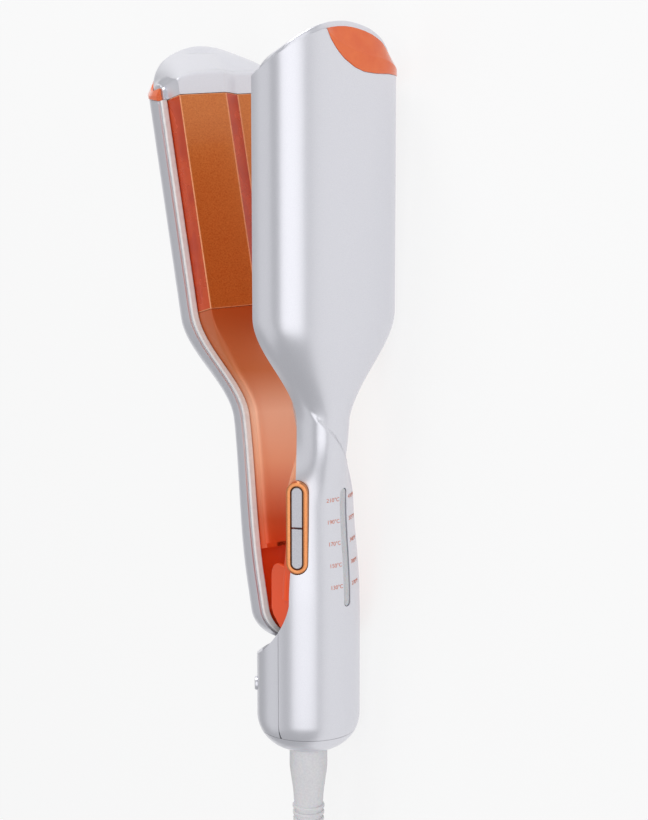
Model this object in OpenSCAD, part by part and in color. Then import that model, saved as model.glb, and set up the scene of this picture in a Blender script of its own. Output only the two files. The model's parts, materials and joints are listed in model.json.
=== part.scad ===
// Hair waver: a handle with one fixed arm, and a sprung lever arm that opens from it.
//
// Every sub-part is drawn in the tool's own frame and then laid on its side on a table:
// z runs along the tool from the cord end to the head, x is its width, and the arms
// close on the plane y = 0, with the fixed arm at -y and the lever arm at +y.
// The two heads are one shape: the lever's is the fixed arm's turned half a turn about z.

/* [Handle] */
// Radius of the round grip at its cord end
handle_r = 20; // [19:0.5:22]
// Radius of the grip where it meets the neck
grip_top_r = 17.8; // [17:0.2:18.6]
// Height of the grip's straight lower part
grip_split_z = 62; // [60:1:64]
// Height at which the grip starts to turn into the neck
grip_top_z = 104; // [102:1:106]
// Height of the seam between the end cap and the grip shells
seam_z = 8; // [7:0.5:9]

/* [Arms] */
// Distance from the closing plane to the rim of each arm's casing
rim_y = 8.5; // [8:0.25:9.5]
// Depth of a head's casing behind its rim
head_depth = 21; // [20:0.5:23]
// Half of the width of the fixed arm's neck
neck_half_w = 9.8; // [9.6:0.1:10.6]
// Half of the width of the lever's neck
lever_neck_half_w = 12.5; // [12:0.1:13]
// Depth of a neck behind its rim
neck_depth = 13.5; // [13:0.25:15]
// Height at which the neck starts to widen into the head
neck_z = 132; // [130:1:136]
// Height at which the head has its full width
head_z = 174; // [172:1:178]
// Rise of the slanted end for each millimetre behind the rim
end_slope = 0.95; // [0.8:0.05:1.1]
// Share of that rise which the end loses towards the tip insert's corner
end_drop = 0.7; // [0.4:0.05:0.75]
// Half of the width of the lever's tail
tail_half_w = 16.5; // [16.2:0.1:17]
// Depth of the lever's tail behind its rim
tail_depth = 17; // [15:0.5:18]
// Length of the tail's rounded end
tail_round = 14; // [10:1:16]
// Wall thickness of the casings
wall = 2; // [1.6:0.1:2.2]
// Roundness of the casing's cross-section: 2 is an ellipse, more is squarer
squareness = 2.7; // [2.4:0.1:3]

/* [Wave plates] */
// Width of one half wave, from its outer corner to the middle of the slope
wave_w = 24.1; // [22:0.1:26]
// Width of the sloping flank beside each half wave
flank_w = 0.55; // [0.4:0.05:1.5]
// Height of a crest, and depth of a trough, from the closing plane
wave_h = 2.5; // [1.5:0.25:3]
// Half of the width of the slope between crest and trough
ramp_half_w = 3.8; // [3:0.2:5]
// Thickness of a heated plate
plate_t = 1.5; // [1.2:0.1:1.8]
// Gap between the two plates when the tool is closed
close_gap = 0.6; // [0.5:0.1:1]
// Length of the plates
plate_len = 84; // [76:1:92]
// Height of the casing's end at its rim, above the plates' upper edge
end_reach = 4.5; // [4:0.5:8]

/* [Hinge] */
// Distance of the hinge axis behind the closing plane
hinge_y = 4; // [3.5:0.25:4.5]
// Height of the hinge axis
hinge_z = 54; // [53:0.5:55]
// Angle between the arms when the spring has opened them
open_angle = 17; // [12:0.5:18]
// Radius of the hinge pin
pin_r = 2; // [1.5:0.1:2.2]
// Length of the hinge pin
pin_len = 21; // [20.6:0.2:21.2]

/* [Controls] */
// Angle of the temperature keys round the grip, from the front towards -x
keys_angle = 42.7; // [40:0.5:46]
// Height of the middle of the temperature keys
keys_z = 92.5; // [90:0.5:95]
// Length of the bezel round the keys
bezel_len = 36; // [34:0.5:38]
// Width of the bezel
bezel_w = 8.4; // [8:0.2:9]
// Travel of a key or of the power button
key_travel = 0.4; // [0.3:0.05:0.45]
// Angle of the level light round the grip, from the front towards +x
light_angle = 18.8; // [16:0.5:22]
// Height of the middle of the level light
light_z = 83.5; // [82:0.5:85]
// Length of the level light
light_len = 46; // [42:1:48]
// Width of the level light
light_w = 3.4; // [3:0.1:4]
// Angle of the power button round the grip, from the front towards -x
power_angle = 120; // [112:1:128]
// Height of the power button
power_z = 25.5; // [24:0.5:27]
// Radius of the power button
power_r = 2.75; // [2.5:0.05:3]

/* [Cord] */
// Radius of the mains cord
cord_r = 3.25; // [3:0.05:3.3]
// Length of the strain relief outside the handle
relief_len = 52; // [48:1:56]
// Radius of the swivel collar where it leaves the end cap
collar_r = 7.4; // [7:0.1:7.8]
// Inner radius of the wound cord's coil
coil_in_r = 29.5; // [28:0.5:32]
// Turns beside each other in the coil
coil_rows = 2; // [2:1:2]
// Layers of turns in the coil
coil_layers = 4; // [3:1:4]

/* [Hidden] */
$fn = 64;
SEAT = 0.15;              // gap left between two rigid pieces that seat on each other
RUN = 0.3;                // gap left between pieces that move past each other
EMBED = 0.06;             // depth of a lofted wall inside the round wall that it grows from
ARC_STEPS = 24;           // facets round a casing's cross-section
plate_z0 = head_z;        // height of the plates' lower edge
plate_z1 = plate_z0 + plate_len;
end_z = plate_z1 + end_reach;
lever_tip_z = hinge_z - 11;
TAIL_TOP_Z = 70;          // height where the lever's tail starts to narrow into the neck
tray_z = 80;              // height where the lever's liner steps down into the tail
tray_y = 10.6;            // distance of the tail's floor from the closing plane
cap_z0 = plate_z1 + SEAT;
trim_w = 1.7;             // reach of the bright trim inwards from a casing's wall
HEAD_FACE_W = wave_w + flank_w;
head_half_w = HEAD_FACE_W + SEAT + trim_w + wall;
trim_t = 1;               // height of the trim on the rim
liner_wall = 1.6;
liner_level = 3;          // distance of a liner's face from the closing plane, along the neck
grip_rim_y = 12.5;        // rim of the grip shell beside the lever
scoop_y = 16;             // axis of the scooped edge round the lever's tail
scoop_z = 66;
scoop_r = sqrt(pow(scoop_y + grip_rim_y, 2) + pow(scoop_z - grip_split_z, 2));
end_round = 14;           // radius of the rounding at the cord end
end_hole_r = collar_r + RUN;
hood_r = handle_r - wall - SEAT;
deck_half_w = sqrt(pow(hood_r - 0.1, 2) - pow(rim_y - SEAT, 2));
board_y = -rim_y - RUN;   // back face of the control board, under the chassis plate
knuckle_half_w = 7.4;
knuckle_r = 4.2;
spring_half_w = 2.9;
web_half_w = 4.5;         // the web that carries the knuckle down to the lever's casing
web_h = 10;
web_gap = 0.9;            // room for the casing's curve over the web's corners
ear_out = pin_len / 2 - 0.1;
ear_in = knuckle_half_w + RUN;
ear_r = 4;
FLARE = 4.4;              // reach of the liner's flanks over the grip shell's rim
cheek_top_y = 4.2;        // reach of the cheeks past the closing plane, below the lever's rim
cheek_t = 1.6;
cheek_x = ear_out + 2.1;
cheek_z0 = hinge_z - 7;
cheek_z1 = tray_z - 4;
cheek_round = 6;
insert_z = end_z - 4.5;   // lowest point of the tip insert
insert_from = -0.25;      // where the insert starts round the casing, -1 to 1
flange_r = 9.6;

// ---- the pose on the table ----
tail_z = end_round;       // height where the straight grip starts, which rests on the table
tilt = atan((head_half_w - handle_r) / (head_z - tail_z));
lift = head_half_w * cos(tilt) - head_z * sin(tilt);
apex_y = rim_y + head_depth;
apex_z = end_z + end_slope * head_depth;
lever_far_y = hinge_y + (apex_y - hinge_y) * cos(open_angle) + (apex_z - hinge_z) * sin(open_angle);
mid_x = (lever_far_y - apex_y) / 2;
mid_y = -(apex_z * cos(tilt) - (collar_r + 1) * sin(tilt)) / 2;

module on_table() translate([mid_x, mid_y, lift]) rotate([tilt - 90, 0, 0]) rotate([0, 0, 90]) children();
module opened() translate([0, hinge_y, hinge_z]) rotate([-open_angle, 0, 0])
    translate([0, -hinge_y, -hinge_z]) children();
module half_turn() rotate([0, 0, 180]) children();

// ---- curves along the tool ----
function mix(a, b, f) = a + (b - a) * f;
function ease(x) = let (c = min(1, max(0, x))) c * c * (3 - 2 * c);
function widen(z) = ease((z - neck_z) / (head_z - neck_z));
function half_w(z) = mix(neck_half_w, head_half_w, widen(z));
function depth(z) = mix(neck_depth, head_depth, widen(z));
function grip_r(z) = mix(handle_r, grip_top_r, ease((z - grip_split_z) / (grip_top_z - grip_split_z)));
function grip_share(z) = 1 - ease((z - grip_top_z + 4) / (neck_z - grip_top_z));
function tail_share(z) = 1 - ease((z - TAIL_TOP_Z) / (neck_z + 8 - TAIL_TOP_Z));
function tail_scale(z) = let (left = max(0, 1 - (z - lever_tip_z) / tail_round))
    max(0.2, sqrt(1 - left * left));
function end_rise(y) = end_slope * (abs(y) - rim_y);
function end_share(z) = max(0, (z - head_z) / (end_z - head_z));

// ---- cross-sections of the fixed arm: t runs from -1 to 1 round its back ----
function superellipse_r(a, b, angle) =
    1 / pow(pow(abs(sin(angle)) / a, squareness) + pow(abs(cos(angle)) / b, squareness), 1 / squareness);
function around(w, d, t) = let (r = superellipse_r(w, d, t * 90)) [r * sin(t * 90), -rim_y - r * cos(t * 90)];
function arm_point(z, t, inset) = around(half_w(z) - inset, depth(z) - inset, t);
function grip_point(z, t, inset) = let (r = grip_r(z) - inset, a = t * acos(grip_rim_y / r))
    [r * sin(a), -r * cos(a)];
function main_point(z, t, inset) = mix(arm_point(z, t, inset), grip_point(z, t, inset), grip_share(z));
function lever_point(z, t, inset) = let (s = tail_scale(z), f = tail_share(z),
    w = mix(mix(lever_neck_half_w, head_half_w, widen(z)), tail_half_w, f), d = mix(depth(z), tail_depth, f))
    around(w * s - inset, d * s - inset, t);
// The fixed arm's loft starts a little inside the round grip's wall, so that the two join soundly.
function casing_point(main, z, t, inset) = !main ? lever_point(z, t, inset)
    : z > grip_split_z ? main_point(z, t, inset)
    : grip_point(z, t * 0.99, min(wall - EMBED, max(EMBED, inset)));
function steps(n) = [for (i = [0:n]) -1 + 2 * i / n];
function backwards(list) = [for (i = [len(list) - 1:-1:0]) list[i]];

// One closed skin over rings of points. A ring's first half runs one way and its second
// half runs back along it, so each end is closed by a strip between the two halves.
module skin(rings) {
    n = len(rings[0]);
    m = len(rings);
    sides = [for (j = [0:m - 2]) for (i = [0:n - 1]) let (a = j * n + i, b = j * n + (i + 1) % n)
        each [[a, b + n, b], [a, a + n, b + n]]];
    low = [for (i = [0:n / 2 - 2]) each [[i, n - 2 - i, n - 1 - i], [i, i + 1, n - 2 - i]]];
    high = [for (f = low) [for (k = [2:-1:0]) f[k] + (m - 1) * n]];
    polyhedron([for (r = rings) each r], concat(sides, low, high));
}

// ---- casings ----
MAIN_LEVELS = [grip_split_z - 2, grip_split_z, 72, 82, 92, 100, 104, 108, 112, 116, 120, 124, 128, 132, 138, 144, 149,
    154, 159, 164, 170, head_z, (head_z + end_z) / 2, end_z];
LEVER_LEVELS = concat([for (a = [0, 12, 24, 38, 54, 72, 90]) lever_tip_z + tail_round * (1 - cos(a))],
    [for (z = MAIN_LEVELS) if (z >= 72) z]);
function levels(main) = main ? MAIN_LEVELS : LEVER_LEVELS;

function rise_share(t) = 1 - end_drop * ease(t / 0.7);
function end_height(t) = end_z + end_rise(arm_point(end_z, t, 0)[1]) * rise_share(t);
function insert_line(t) = let (s = (t - insert_from) / (1 - insert_from), edge = end_height(t))
    insert_z + (edge - insert_z) * (0.6 * pow(1 - s, 4) + 0.4 * pow(1 - s, 0.6));
function casing_end(t) = t < insert_from ? end_height(t) : insert_line(t) - SEAT;
function casing_height(z, t) = z + (casing_end(t) - end_z) * end_share(z);

module casing(main) skin([for (z = levels(main)) concat(
    [for (t = steps(ARC_STEPS)) concat(casing_point(main, z, t, 0), casing_height(z, t))],
    [for (t = backwards(steps(ARC_STEPS))) concat(casing_point(main, z, t, wall), casing_height(z, t))])]);

module slot(length, width, from, to) translate([0, -from, 0]) rotate([90, 0, 0])
    linear_extrude(to - from) {
        square([width, length - width], center = true);
        for (end = [-1, 1]) translate([0, end * (length - width) / 2]) circle(d = width);
    }
module at_front(angle, z) rotate([0, 0, angle]) translate([0, 0, z]) children();

function end_arc(inset) = [for (a = [0:10:90]) [handle_r - end_round + (end_round - inset) * sin(a),
    end_round - (end_round - inset) * cos(a)]];
module grip_solid_profile(inset, z_top)
    polygon(concat([[0, inset]], end_arc(inset), [[handle_r - inset, z_top], [0, z_top]]));
module grip_ring(inset, from_z, to_z) rotate_extrude($fn = 96) intersection() {
    difference() {
        grip_solid_profile(inset, grip_split_z);
        grip_solid_profile(inset + wall, grip_split_z + 1);
    }
    translate([0, from_z]) square([handle_r + 1, to_z - from_z]);
}
module scoop(raise = 0) translate([0, scoop_y, scoop_z + raise]) rotate([0, 90, 0])
    cylinder(r = scoop_r, h = 4 * handle_r, center = true, $fn = 96);
module in_front_of(y) translate([-100, y - 200, -50]) cube([200, 200, 400]);

module main_shell() color("silver") difference() {
    union() {
        casing(true);
        intersection() {
            difference() {
                grip_ring(0, seam_z, grip_split_z);
                scoop();
            }
            in_front_of(-rim_y);
        }
    }
    at_front(-keys_angle, keys_z) slot(bezel_len + 2 * SEAT, bezel_w + 2 * SEAT, bezel_w, 1.5 * handle_r);
    at_front(light_angle, light_z) slot(light_len + 2 * SEAT, light_w + 2 * SEAT, 12, 1.5 * handle_r);
}

module rear_shell() color("silver") difference() {
    grip_ring(0, seam_z, grip_split_z);
    in_front_of(SEAT - rim_y);
    scoop();
    at_front(-power_angle, power_z) rotate([90, 0, 0]) cylinder(r = power_r + RUN, h = 2 * handle_r);
}

module end_cap() color("silver") difference() {
    grip_ring(0, -1, seam_z - SEAT);
    translate([0, 0, -1]) cylinder(r = end_hole_r, h = handle_r);
}

// The bright strip on a casing's rim, down both sides of the arm.
function trim_z0(main) = main ? keys_z + bezel_len / 2 + 13.5 : lever_tip_z;
function trim_levels(main) = concat([trim_z0(main)], [for (z = levels(main)) if (z > trim_z0(main) + 0.1) z]);
module casing_trim(main) for (side = [0, 1]) mirror([side, 0, 0])
    skin([for (z = trim_levels(main)) let (p = casing_point(main, z, 1, wall), top = min(z, plate_z1)) [
        [p[0] + wall / 2, p[1] + SEAT, top], [p[0] + wall / 2, p[1] + SEAT + trim_t, top],
        [p[0] - trim_w, p[1] + SEAT + trim_t, top], [p[0] - trim_w, p[1] + SEAT, top]]]);

// ---- the faces between the arms ----
function face_half_w(main, z) = casing_point(main, z, 1, wall)[0] - trim_w - SEAT;
function face_rim(main, z) = casing_point(main, z, 1, wall)[1] + SEAT;
function wave_share(z) = ease((z - plate_z0 + 28) / 28);
function flare(main, z) = main ? FLARE * grip_share(z) : 0;
// Half of a face's outline, from the rim on the side where x > 0 to the slope's upper end.
function face_side(main, z, inset, up) = let (w = face_half_w(main, z), f = wave_share(z),
    level = mix(liner_level, close_gap / 2, f) - up * wave_h * f, k = w / HEAD_FACE_W,
    rim = face_rim(main, z), out = flare(main, z)) [
    [w - inset, rim],
    [w - inset, rim + trim_t + RUN],
    [w + out - inset, mix(rim, -level, out > 0 ? 0.45 : 0.5)],
    [w + 0.6 * out - inset - (HEAD_FACE_W - wave_w) * k, -level - inset],
    [ramp_half_w * k + up * 0.3 * inset, -level - inset]];
function face(main, z, inset) = concat(face_side(main, z, inset, 1),
    [for (p = backwards(face_side(main, z, inset, -1))) [-p[0], p[1]]]);
function face_ring(main, z, thick) = concat(face(main, z, 0), backwards(face(main, z, thick)));

MAIN_LINER_LEVELS = [grip_split_z + 1, 80, 100, 108, 116, 124, 132, 138, 144, 149, 154, 159, 164,
    170, plate_z0 - SEAT];
LEVER_LINER_LEVELS = concat([tray_z, tray_z + 12, tray_z + 24], [for (z = MAIN_LINER_LEVELS) if (z > 110) z]);
module liner(main) skin([for (z = main ? MAIN_LINER_LEVELS : LEVER_LINER_LEVELS)
    [for (p = face_ring(main, z, liner_wall)) [p[0], p[1], z]]]);

// The floor of the lever's tail, a step lower than the liner that it carries on from.
TAIL_LEVELS = [for (z = LEVER_LEVELS) if (z <= tray_z + 12) z];
module lever_core() skin([for (z = TAIL_LEVELS) concat(
    [for (t = steps(ARC_STEPS)) concat(casing_point(false, z, t, wall + SEAT), z)],
    [for (t = backwards(steps(ARC_STEPS))) [casing_point(false, z, t, wall + SEAT)[0], -rim_y, z]])]);
module tail_tray() {
    difference() {
        intersection() {
            translate([-handle_r, -tray_y - liner_wall, lever_tip_z])
                cube([2 * handle_r, liner_wall, tray_z + liner_wall - lever_tip_z]);
            lever_core();
        }
        translate([-web_half_w - RUN, -2 * handle_r, hinge_z - RUN])
            cube([2 * (web_half_w + RUN), 2 * handle_r, web_h + 2 * RUN]);
    }
    translate([0, 0, tray_z]) linear_extrude(liner_wall) polygon(face(false, tray_z, 0));
    intersection() {
        translate([-handle_r, -tray_y - liner_wall, tray_z])
            cube([2 * handle_r, tray_y + liner_wall - rim_y + SEAT + EMBED, liner_wall]);
        lever_core();
    }
}

// The cheeks of the fixed arm's liner, which cover the ears of the hinge from outside.
module cheeks() for (side = [0, 1]) mirror([side, 0, 0]) intersection() {
    translate([cheek_x, 0, 0]) rotate([90, 0, 90]) linear_extrude(cheek_t)
        polygon(concat([[-grip_rim_y, cheek_z0], [cheek_top_y, cheek_z0]],
            [for (a = [0:15:90]) [cheek_top_y - cheek_round * (1 - cos(a)),
                cheek_z1 - cheek_round * (1 - sin(a))]],
            [[-grip_rim_y, cheek_z1]]));
    scoop(1.5 + RUN + 0.4);
    cylinder(r = handle_r - wall - SEAT - 0.1, h = 2 * cheek_z1);
}

module plate() color("peru") translate([0, 0, plate_z0]) linear_extrude(plate_len)
    polygon(face_ring(true, end_z, plate_t));

// Depth of the inside of a head's casing at x, from the closing plane.
function floor_y(x) = rim_y + (head_depth - wall)
    * pow(1 - pow(abs(x) / (head_half_w - wall), squareness), 1 / squareness);
heater_t = 4;
heater_w = 14;
heater_x = 14;
carrier_t = 2;
leg_x = 12;               // place of the carrier's legs, which stand on the casing's floor
leg_w = 10;
leg_gap = 0.4;
function under_plate(up) = -close_gap / 2 + up * wave_h - plate_t - SEAT;
module heater() color("gainsboro") for (up = [-1, 1])
    translate([up * heater_x - heater_w / 2, under_plate(up) - heater_t, plate_z0 + 10])
        cube([heater_w, heater_t, plate_len - 20]);

function carrier_face(up) = under_plate(up) - heater_t - SEAT;
module carrier() color("dimgray") translate([0, 0, plate_z0 + 4]) {
    low = carrier_face(-1);
    high = carrier_face(1);
    side_x = HEAD_FACE_W - plate_t - SEAT;
    difference() {
        linear_extrude(plate_len - 8) polygon([[-side_x, low], [-ramp_half_w, low], [ramp_half_w, high],
            [side_x, high], [side_x, high - carrier_t], [ramp_half_w, high - carrier_t],
            [-ramp_half_w, low - carrier_t], [-side_x, low - carrier_t]]);
        for (z = [14, 30, 46, 62]) translate([-heater_x, 0, z]) rotate([90, 0, 0]) cylinder(d = 6, h = 40);
    }
    for (up = [-1, 1]) for (z = [0, plate_len - 8 - leg_w]) {
        foot = -floor_y(leg_x) + leg_gap;
        translate([up * leg_x - carrier_t / 2, foot, z])
            cube([carrier_t, carrier_face(up) - carrier_t + 0.5 - foot, leg_w]);
    }
}

module sensor() color("black") translate([-ramp_half_w - 1.6, under_plate(-1) - 1.3, plate_z0 + plate_len / 2])
    cylinder(r = 1.2, h = 8, center = true);

// Height of a head's end at the face's front edge, dropping to the rim at its corners.
corner_rise = 5;
function front_height(x) = end_z + corner_rise * (1 - pow(min(1, abs(x) / (head_half_w - wall)), 6));
function front_y(x) = abs(x) >= HEAD_FACE_W ? -rim_y + trim_t
    : mix(-close_gap / 2 + wave_h * max(-1, min(1, x / ramp_half_w)), -rim_y + trim_t,
        max(0, (abs(x) - wave_w) / (HEAD_FACE_W - wave_w)));
module head_cap() {
    back = [for (t = steps(ARC_STEPS)) arm_point(end_z, t, wall + SEAT)];
    front = [for (p = backwards(back)) [p[0], front_y(p[0])]];
    difference() {
        skin([
            concat([for (p = back) [p[0], p[1], cap_z0]], [for (p = front) [p[0], p[1], cap_z0]]),
            concat([for (i = [0:ARC_STEPS]) let (p = back[i])
                    [p[0], p[1], end_z + end_rise(p[1]) * rise_share(-1 + 2 * i / ARC_STEPS)]],
                [for (p = front) [p[0], p[1], front_height(p[0])]])]);
        translate([0, -rim_y - head_depth * 0.62, end_z + 27]) sphere(r = 14);
    }
}

function insert_foot(t) = min(insert_line(t), end_height(t) - 0.1);
module tip_insert() {
    ts = [for (t = steps(ARC_STEPS)) if (t >= insert_from) t];
    skin([
        concat([for (t = ts) concat(arm_point(end_z, t, 0), insert_foot(t))],
            [for (t = backwards(ts)) concat(arm_point(end_z, t, wall), insert_foot(t))]),
        concat([for (t = ts) concat(arm_point(end_z, t, 0), end_height(t))],
            [for (t = backwards(ts)) concat(arm_point(end_z, t, wall), end_height(t))])]);
}

// ---- the handle's inside ----
module chassis() color("gray") difference() {
    union() {
        intersection() {
            difference() {
                grip_ring(wall + SEAT, 12, grip_split_z);
                scoop(1.5);
            }
            translate([-50, SEAT - rim_y, 0]) cube([100, 100, 100]);
        }
        translate([-deck_half_w, SEAT - rim_y, 12]) cube([2 * deck_half_w, 2, 34]);
        translate([-ear_out, SEAT - rim_y, 44]) cube([2 * ear_out, 2, 17]);
        for (side = [0, 1]) mirror([side, 0, 0]) translate([ear_in, 0, 0]) {
            translate([0, SEAT - rim_y, hinge_z - ear_r]) cube([ear_out - ear_in, hinge_y + rim_y, 2 * ear_r]);
            translate([0, hinge_y, hinge_z]) rotate([0, 90, 0]) cylinder(r = ear_r, h = ear_out - ear_in);
        }
    }
    translate([0, hinge_y, hinge_z]) rotate([0, 90, 0]) cylinder(r = pin_r + 0.05, h = 60, center = true);
    at_front(-power_angle, power_z) rotate([90, 0, 0]) cylinder(r = power_r + RUN, h = 2 * handle_r);
}
module hinge_pin() color("silver") translate([0, hinge_y, hinge_z]) rotate([0, 90, 0])
    cylinder(r = pin_r, h = pin_len, center = true);

coil_r = 3.6;
wire_r = 0.45;
coil_turns = 4.5;
coil_steps = 16;          // rings in each turn of the spring
wire_sides = 8;
coil_span = 2 * (spring_half_w - RUN - wire_r);
function coil_centre(i) = let (a = 360 * i / coil_steps)
    [coil_span * (i / (coil_turns * coil_steps) - 0.5), -coil_r * sin(a), -coil_r * cos(a)];
function wire_point(i, k) = let (a = 360 * i / coil_steps, b = 360 * k / wire_sides)
    coil_centre(i) + wire_r * [cos(b), -sin(b) * sin(a), -sin(b) * cos(a)];
module opening_spring() color("lightgray") translate([0, hinge_y, hinge_z]) {
    n = coil_turns * coil_steps;
    polyhedron([for (i = [0:n]) for (k = [0:wire_sides - 1]) wire_point(i, k)],
        concat([for (i = [0:n - 1]) for (k = [0:wire_sides - 1]) let (a = i * wire_sides + k,
                b = i * wire_sides + (k + 1) % wire_sides)
                each [[a, b, b + wire_sides], [a, b + wire_sides, a + wire_sides]]],
            [[for (k = [wire_sides - 1:-1:0]) k]], [[for (k = [0:wire_sides - 1]) n * wire_sides + k]]));
}

board_t = 1.6;
board_w = 13;
board_x = -5;
board_z = tail_z + 8;
board_len = 60;
TRANSFORMER = [11, handle_r - 15, 16];
RELAY = [8, 3.5, 10];
CHIP = [5, 1.2, 4];
can_r = 2.2;              // the capacitor's can
can_h = 3;
parts_y = board_y - board_t - SEAT;
module component(x, z, size) translate([board_x + x, parts_y - size[1], board_z + z]) cube(size);
module board() color("seagreen") translate([board_x, board_y - board_t, board_z])
    cube([board_w, board_t, board_len]);
module board_parts() color("dimgray") {
    component(1, 4, TRANSFORMER);
    component(2, 24, RELAY);
    for (z = [48, 54]) component(1, z, CHIP);
    translate([board_x + 3, parts_y, board_z + 42]) rotate([90, 0, 0]) cylinder(r = can_r, h = can_h);
}

light_r = grip_top_r - wall - 1.5;
module light_strip() color("darkgreen") at_front(light_angle, light_z)
    translate([-2.2, -light_r + SEAT, 1 - light_len / 2]) cube([4.4, 1, light_len - 10]);
module level_light() color("whitesmoke") at_front(light_angle, light_z)
    slot(light_len, light_w, light_r, grip_top_r - 0.2);

bezel_in = 16.2;
bezel_out = 19.6;
key_w = 4.2;
key_gap = 0.25;
module key_bezel() color("peru") at_front(-keys_angle, keys_z) difference() {
    slot(bezel_len, bezel_w, bezel_in, bezel_out);
    slot(bezel_len - bezel_w + key_w + 2 * key_gap, key_w + 2 * key_gap, bezel_in - 1, bezel_out + 1);
}
module key(up) color("lightgray") at_front(-keys_angle, keys_z) intersection() {
    slot(bezel_len - bezel_w + key_w, key_w, bezel_in, bezel_out - 0.3);
    translate([-5, -30, up > 0 ? key_gap : -50 - key_gap]) cube([10, 30, 50]);
}
module key_board() color("seagreen") at_front(-keys_angle, keys_z) {
    translate([-2.6, -bezel_in + 2.1, -16]) cube([5.2, 1, 32]);
    for (z = [-8, 8]) translate([0, -bezel_in + 2.1, z]) rotate([90, 0, 0])
        cylinder(r = 1.6, h = 2.1 - key_travel - 0.2);
}
module plus_key() key(1);
module minus_key() key(-1);

power_in = handle_r - 4.6;
power_out = handle_r + 0.9;
module power_button() color("silver") at_front(-power_angle, power_z) translate([0, -power_in, 0])
    rotate([90, 0, 0]) cylinder(r = power_r, h = power_out - power_in);
module power_switch() color("black") at_front(-power_angle, power_z)
    translate([-3, -power_in + key_travel + 0.2, -3]) cube([6, 3, 6]);

// ---- the lever's hinge ----
module lever_knuckle() color("coral") difference() {
    union() {
        translate([0, hinge_y, hinge_z]) rotate([0, 90, 0])
            cylinder(r = knuckle_r, h = 2 * knuckle_half_w, center = true);
        translate([-web_half_w, hinge_y, hinge_z])
            cube([2 * web_half_w, rim_y + tail_depth - wall - web_gap - hinge_y, web_h]);
    }
    translate([0, hinge_y, hinge_z]) rotate([0, 90, 0]) cylinder(r = pin_r + 0.05, h = 60, center = true);
    translate([-spring_half_w, hinge_y - 6, hinge_z - 9]) cube([2 * spring_half_w, 11, 18]);
}

// ---- the swivelling cord entry ----
ribs = 10;
rib_pitch = 2.7;
rib_top = -24;
function rib_r(i) = mix(collar_r - 1.1, cord_r + 1.9, i / ribs);
function neck_r(i) = mix(collar_r - 1.9, cord_r + 1.3, i / ribs);
function rib_outline(i) = let (y = rib_top - i * rib_pitch) [[neck_r(i), y], [rib_r(i), y],
    [rib_r(i), y - rib_pitch / 2], [neck_r(i), y - rib_pitch / 2]];
module strain_relief() color("gainsboro") rotate_extrude() difference() {
    polygon(concat([[0, 4.6], [flange_r, 4.6], [flange_r, 2.6], [collar_r, 2.6], [collar_r, -9],
        [collar_r - 1.4, -19], [collar_r - 1.6, -22]],
        [for (i = [0:ribs - 1]) each rib_outline(i)], [[cord_r + 1.3, -relief_len], [0, -relief_len]]));
    translate([0, -relief_len - 1]) square([cord_r + 0.2, relief_len - 12]);
}
module swivel_terminal() color("goldenrod") translate([0, 0, 5]) difference() {
    cylinder(r = 7, h = 5);
    translate([0, 0, -1]) cylinder(r = 3, h = 10);
}

// ---- the mains cord, in the table's frame ----
function on_table_point(p) = let (x = -p[1], y = p[2], z = -p[0])
    [mid_x + x, mid_y + y * cos(tilt) - z * sin(tilt), lift + y * sin(tilt) + z * cos(tilt)];
exit = on_table_point([0, 0, -relief_len]);
start = on_table_point([0, 0, -14]);
coil_out_r = coil_in_r + 2 * coil_rows * cord_r;
coil_at = exit + [-34, -104, -exit[2]];
// The lead from the strain relief to the coil's second layer, and the tail from the coil to the plug.
LEAD = [[0, -12, -0.9], [0.2, -26, -3.6], [1, -40, -6.4], [2.6, -54, -7.9], [4.8, -68, -7.9], [7.6, -84.6, -6.7]];
lead_points = concat([start, exit], [for (p = LEAD) exit + p]);
TAIL = [[0, 0, 0], [0, 8, 0], [-0.5, 16, 0], [-1.8, 25, 0]];
tail_start = coil_at + [-coil_out_r - cord_r - RUN, 0, cord_r];
tail_points = [for (p = TAIL) tail_start + p];
plug_turn = 98.2;

function unit(v) = v / norm(v);
module tube(points, r, sides = 10) {
    n = len(points);
    dirs = [for (i = [0:n - 1]) unit(points[min(n - 1, i + 1)] - points[max(0, i - 1)])];
    rings = [for (i = [0:n - 1]) let (side = unit(cross([0, 0, 1], dirs[i])), up = cross(dirs[i], side))
        [for (k = [0:sides - 1]) points[i] + r * (cos(360 * k / sides) * side + sin(360 * k / sides) * up)]];
    polyhedron([for (ring = rings) each ring], concat(
        [for (i = [0:n - 2]) for (k = [0:sides - 1]) let (a = i * sides + k, b = i * sides + (k + 1) % sides)
            each [[a, b + sides, b], [a, a + sides, b + sides]]],
        [[for (k = [0:sides - 1]) k]], [[for (k = [sides - 1:-1:0]) (n - 1) * sides + k]]));
}
module cord() color("gainsboro") tube(lead_points, cord_r);
module cord_tail() color("gainsboro") tube(tail_points, cord_r);
module cord_coil() color("gainsboro") translate(coil_at) rotate_extrude()
    translate([coil_in_r, 0]) square([2 * coil_rows * cord_r, 2 * coil_layers * cord_r]);

plug_at = tail_points[len(tail_points) - 1];
module at_plug() translate(plug_at) rotate([0, 0, plug_turn]) children();
plug_t = 13.7;
plug_w = 35.3;
plug_len = 38;
pin_pitch = 19;
module plug() color("gainsboro") at_plug() {
    rotate([0, 90, 0]) cylinder(r1 = cord_r + 1, r2 = cord_r + 2, h = 16, $fn = 48);
    translate([0, 0, -cord_r]) linear_extrude(plug_t) polygon([[12, 7], [16, 8.5], [24, plug_w / 2],
        [plug_len, plug_w / 2], [plug_len, -plug_w / 2], [24, -plug_w / 2], [16, -8.5], [12, -7]]);
}
module plug_pins() color("silver") at_plug() for (side = [-1, 1])
    translate([plug_len + SEAT, side * pin_pitch / 2, plug_t / 2 - cord_r]) rotate([0, 90, 0])
        cylinder(d = 4, h = 19);

// ---- the nodes ----
module lever_part() on_table() opened() half_turn() children();
module lever_own() on_table() opened() children();

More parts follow.
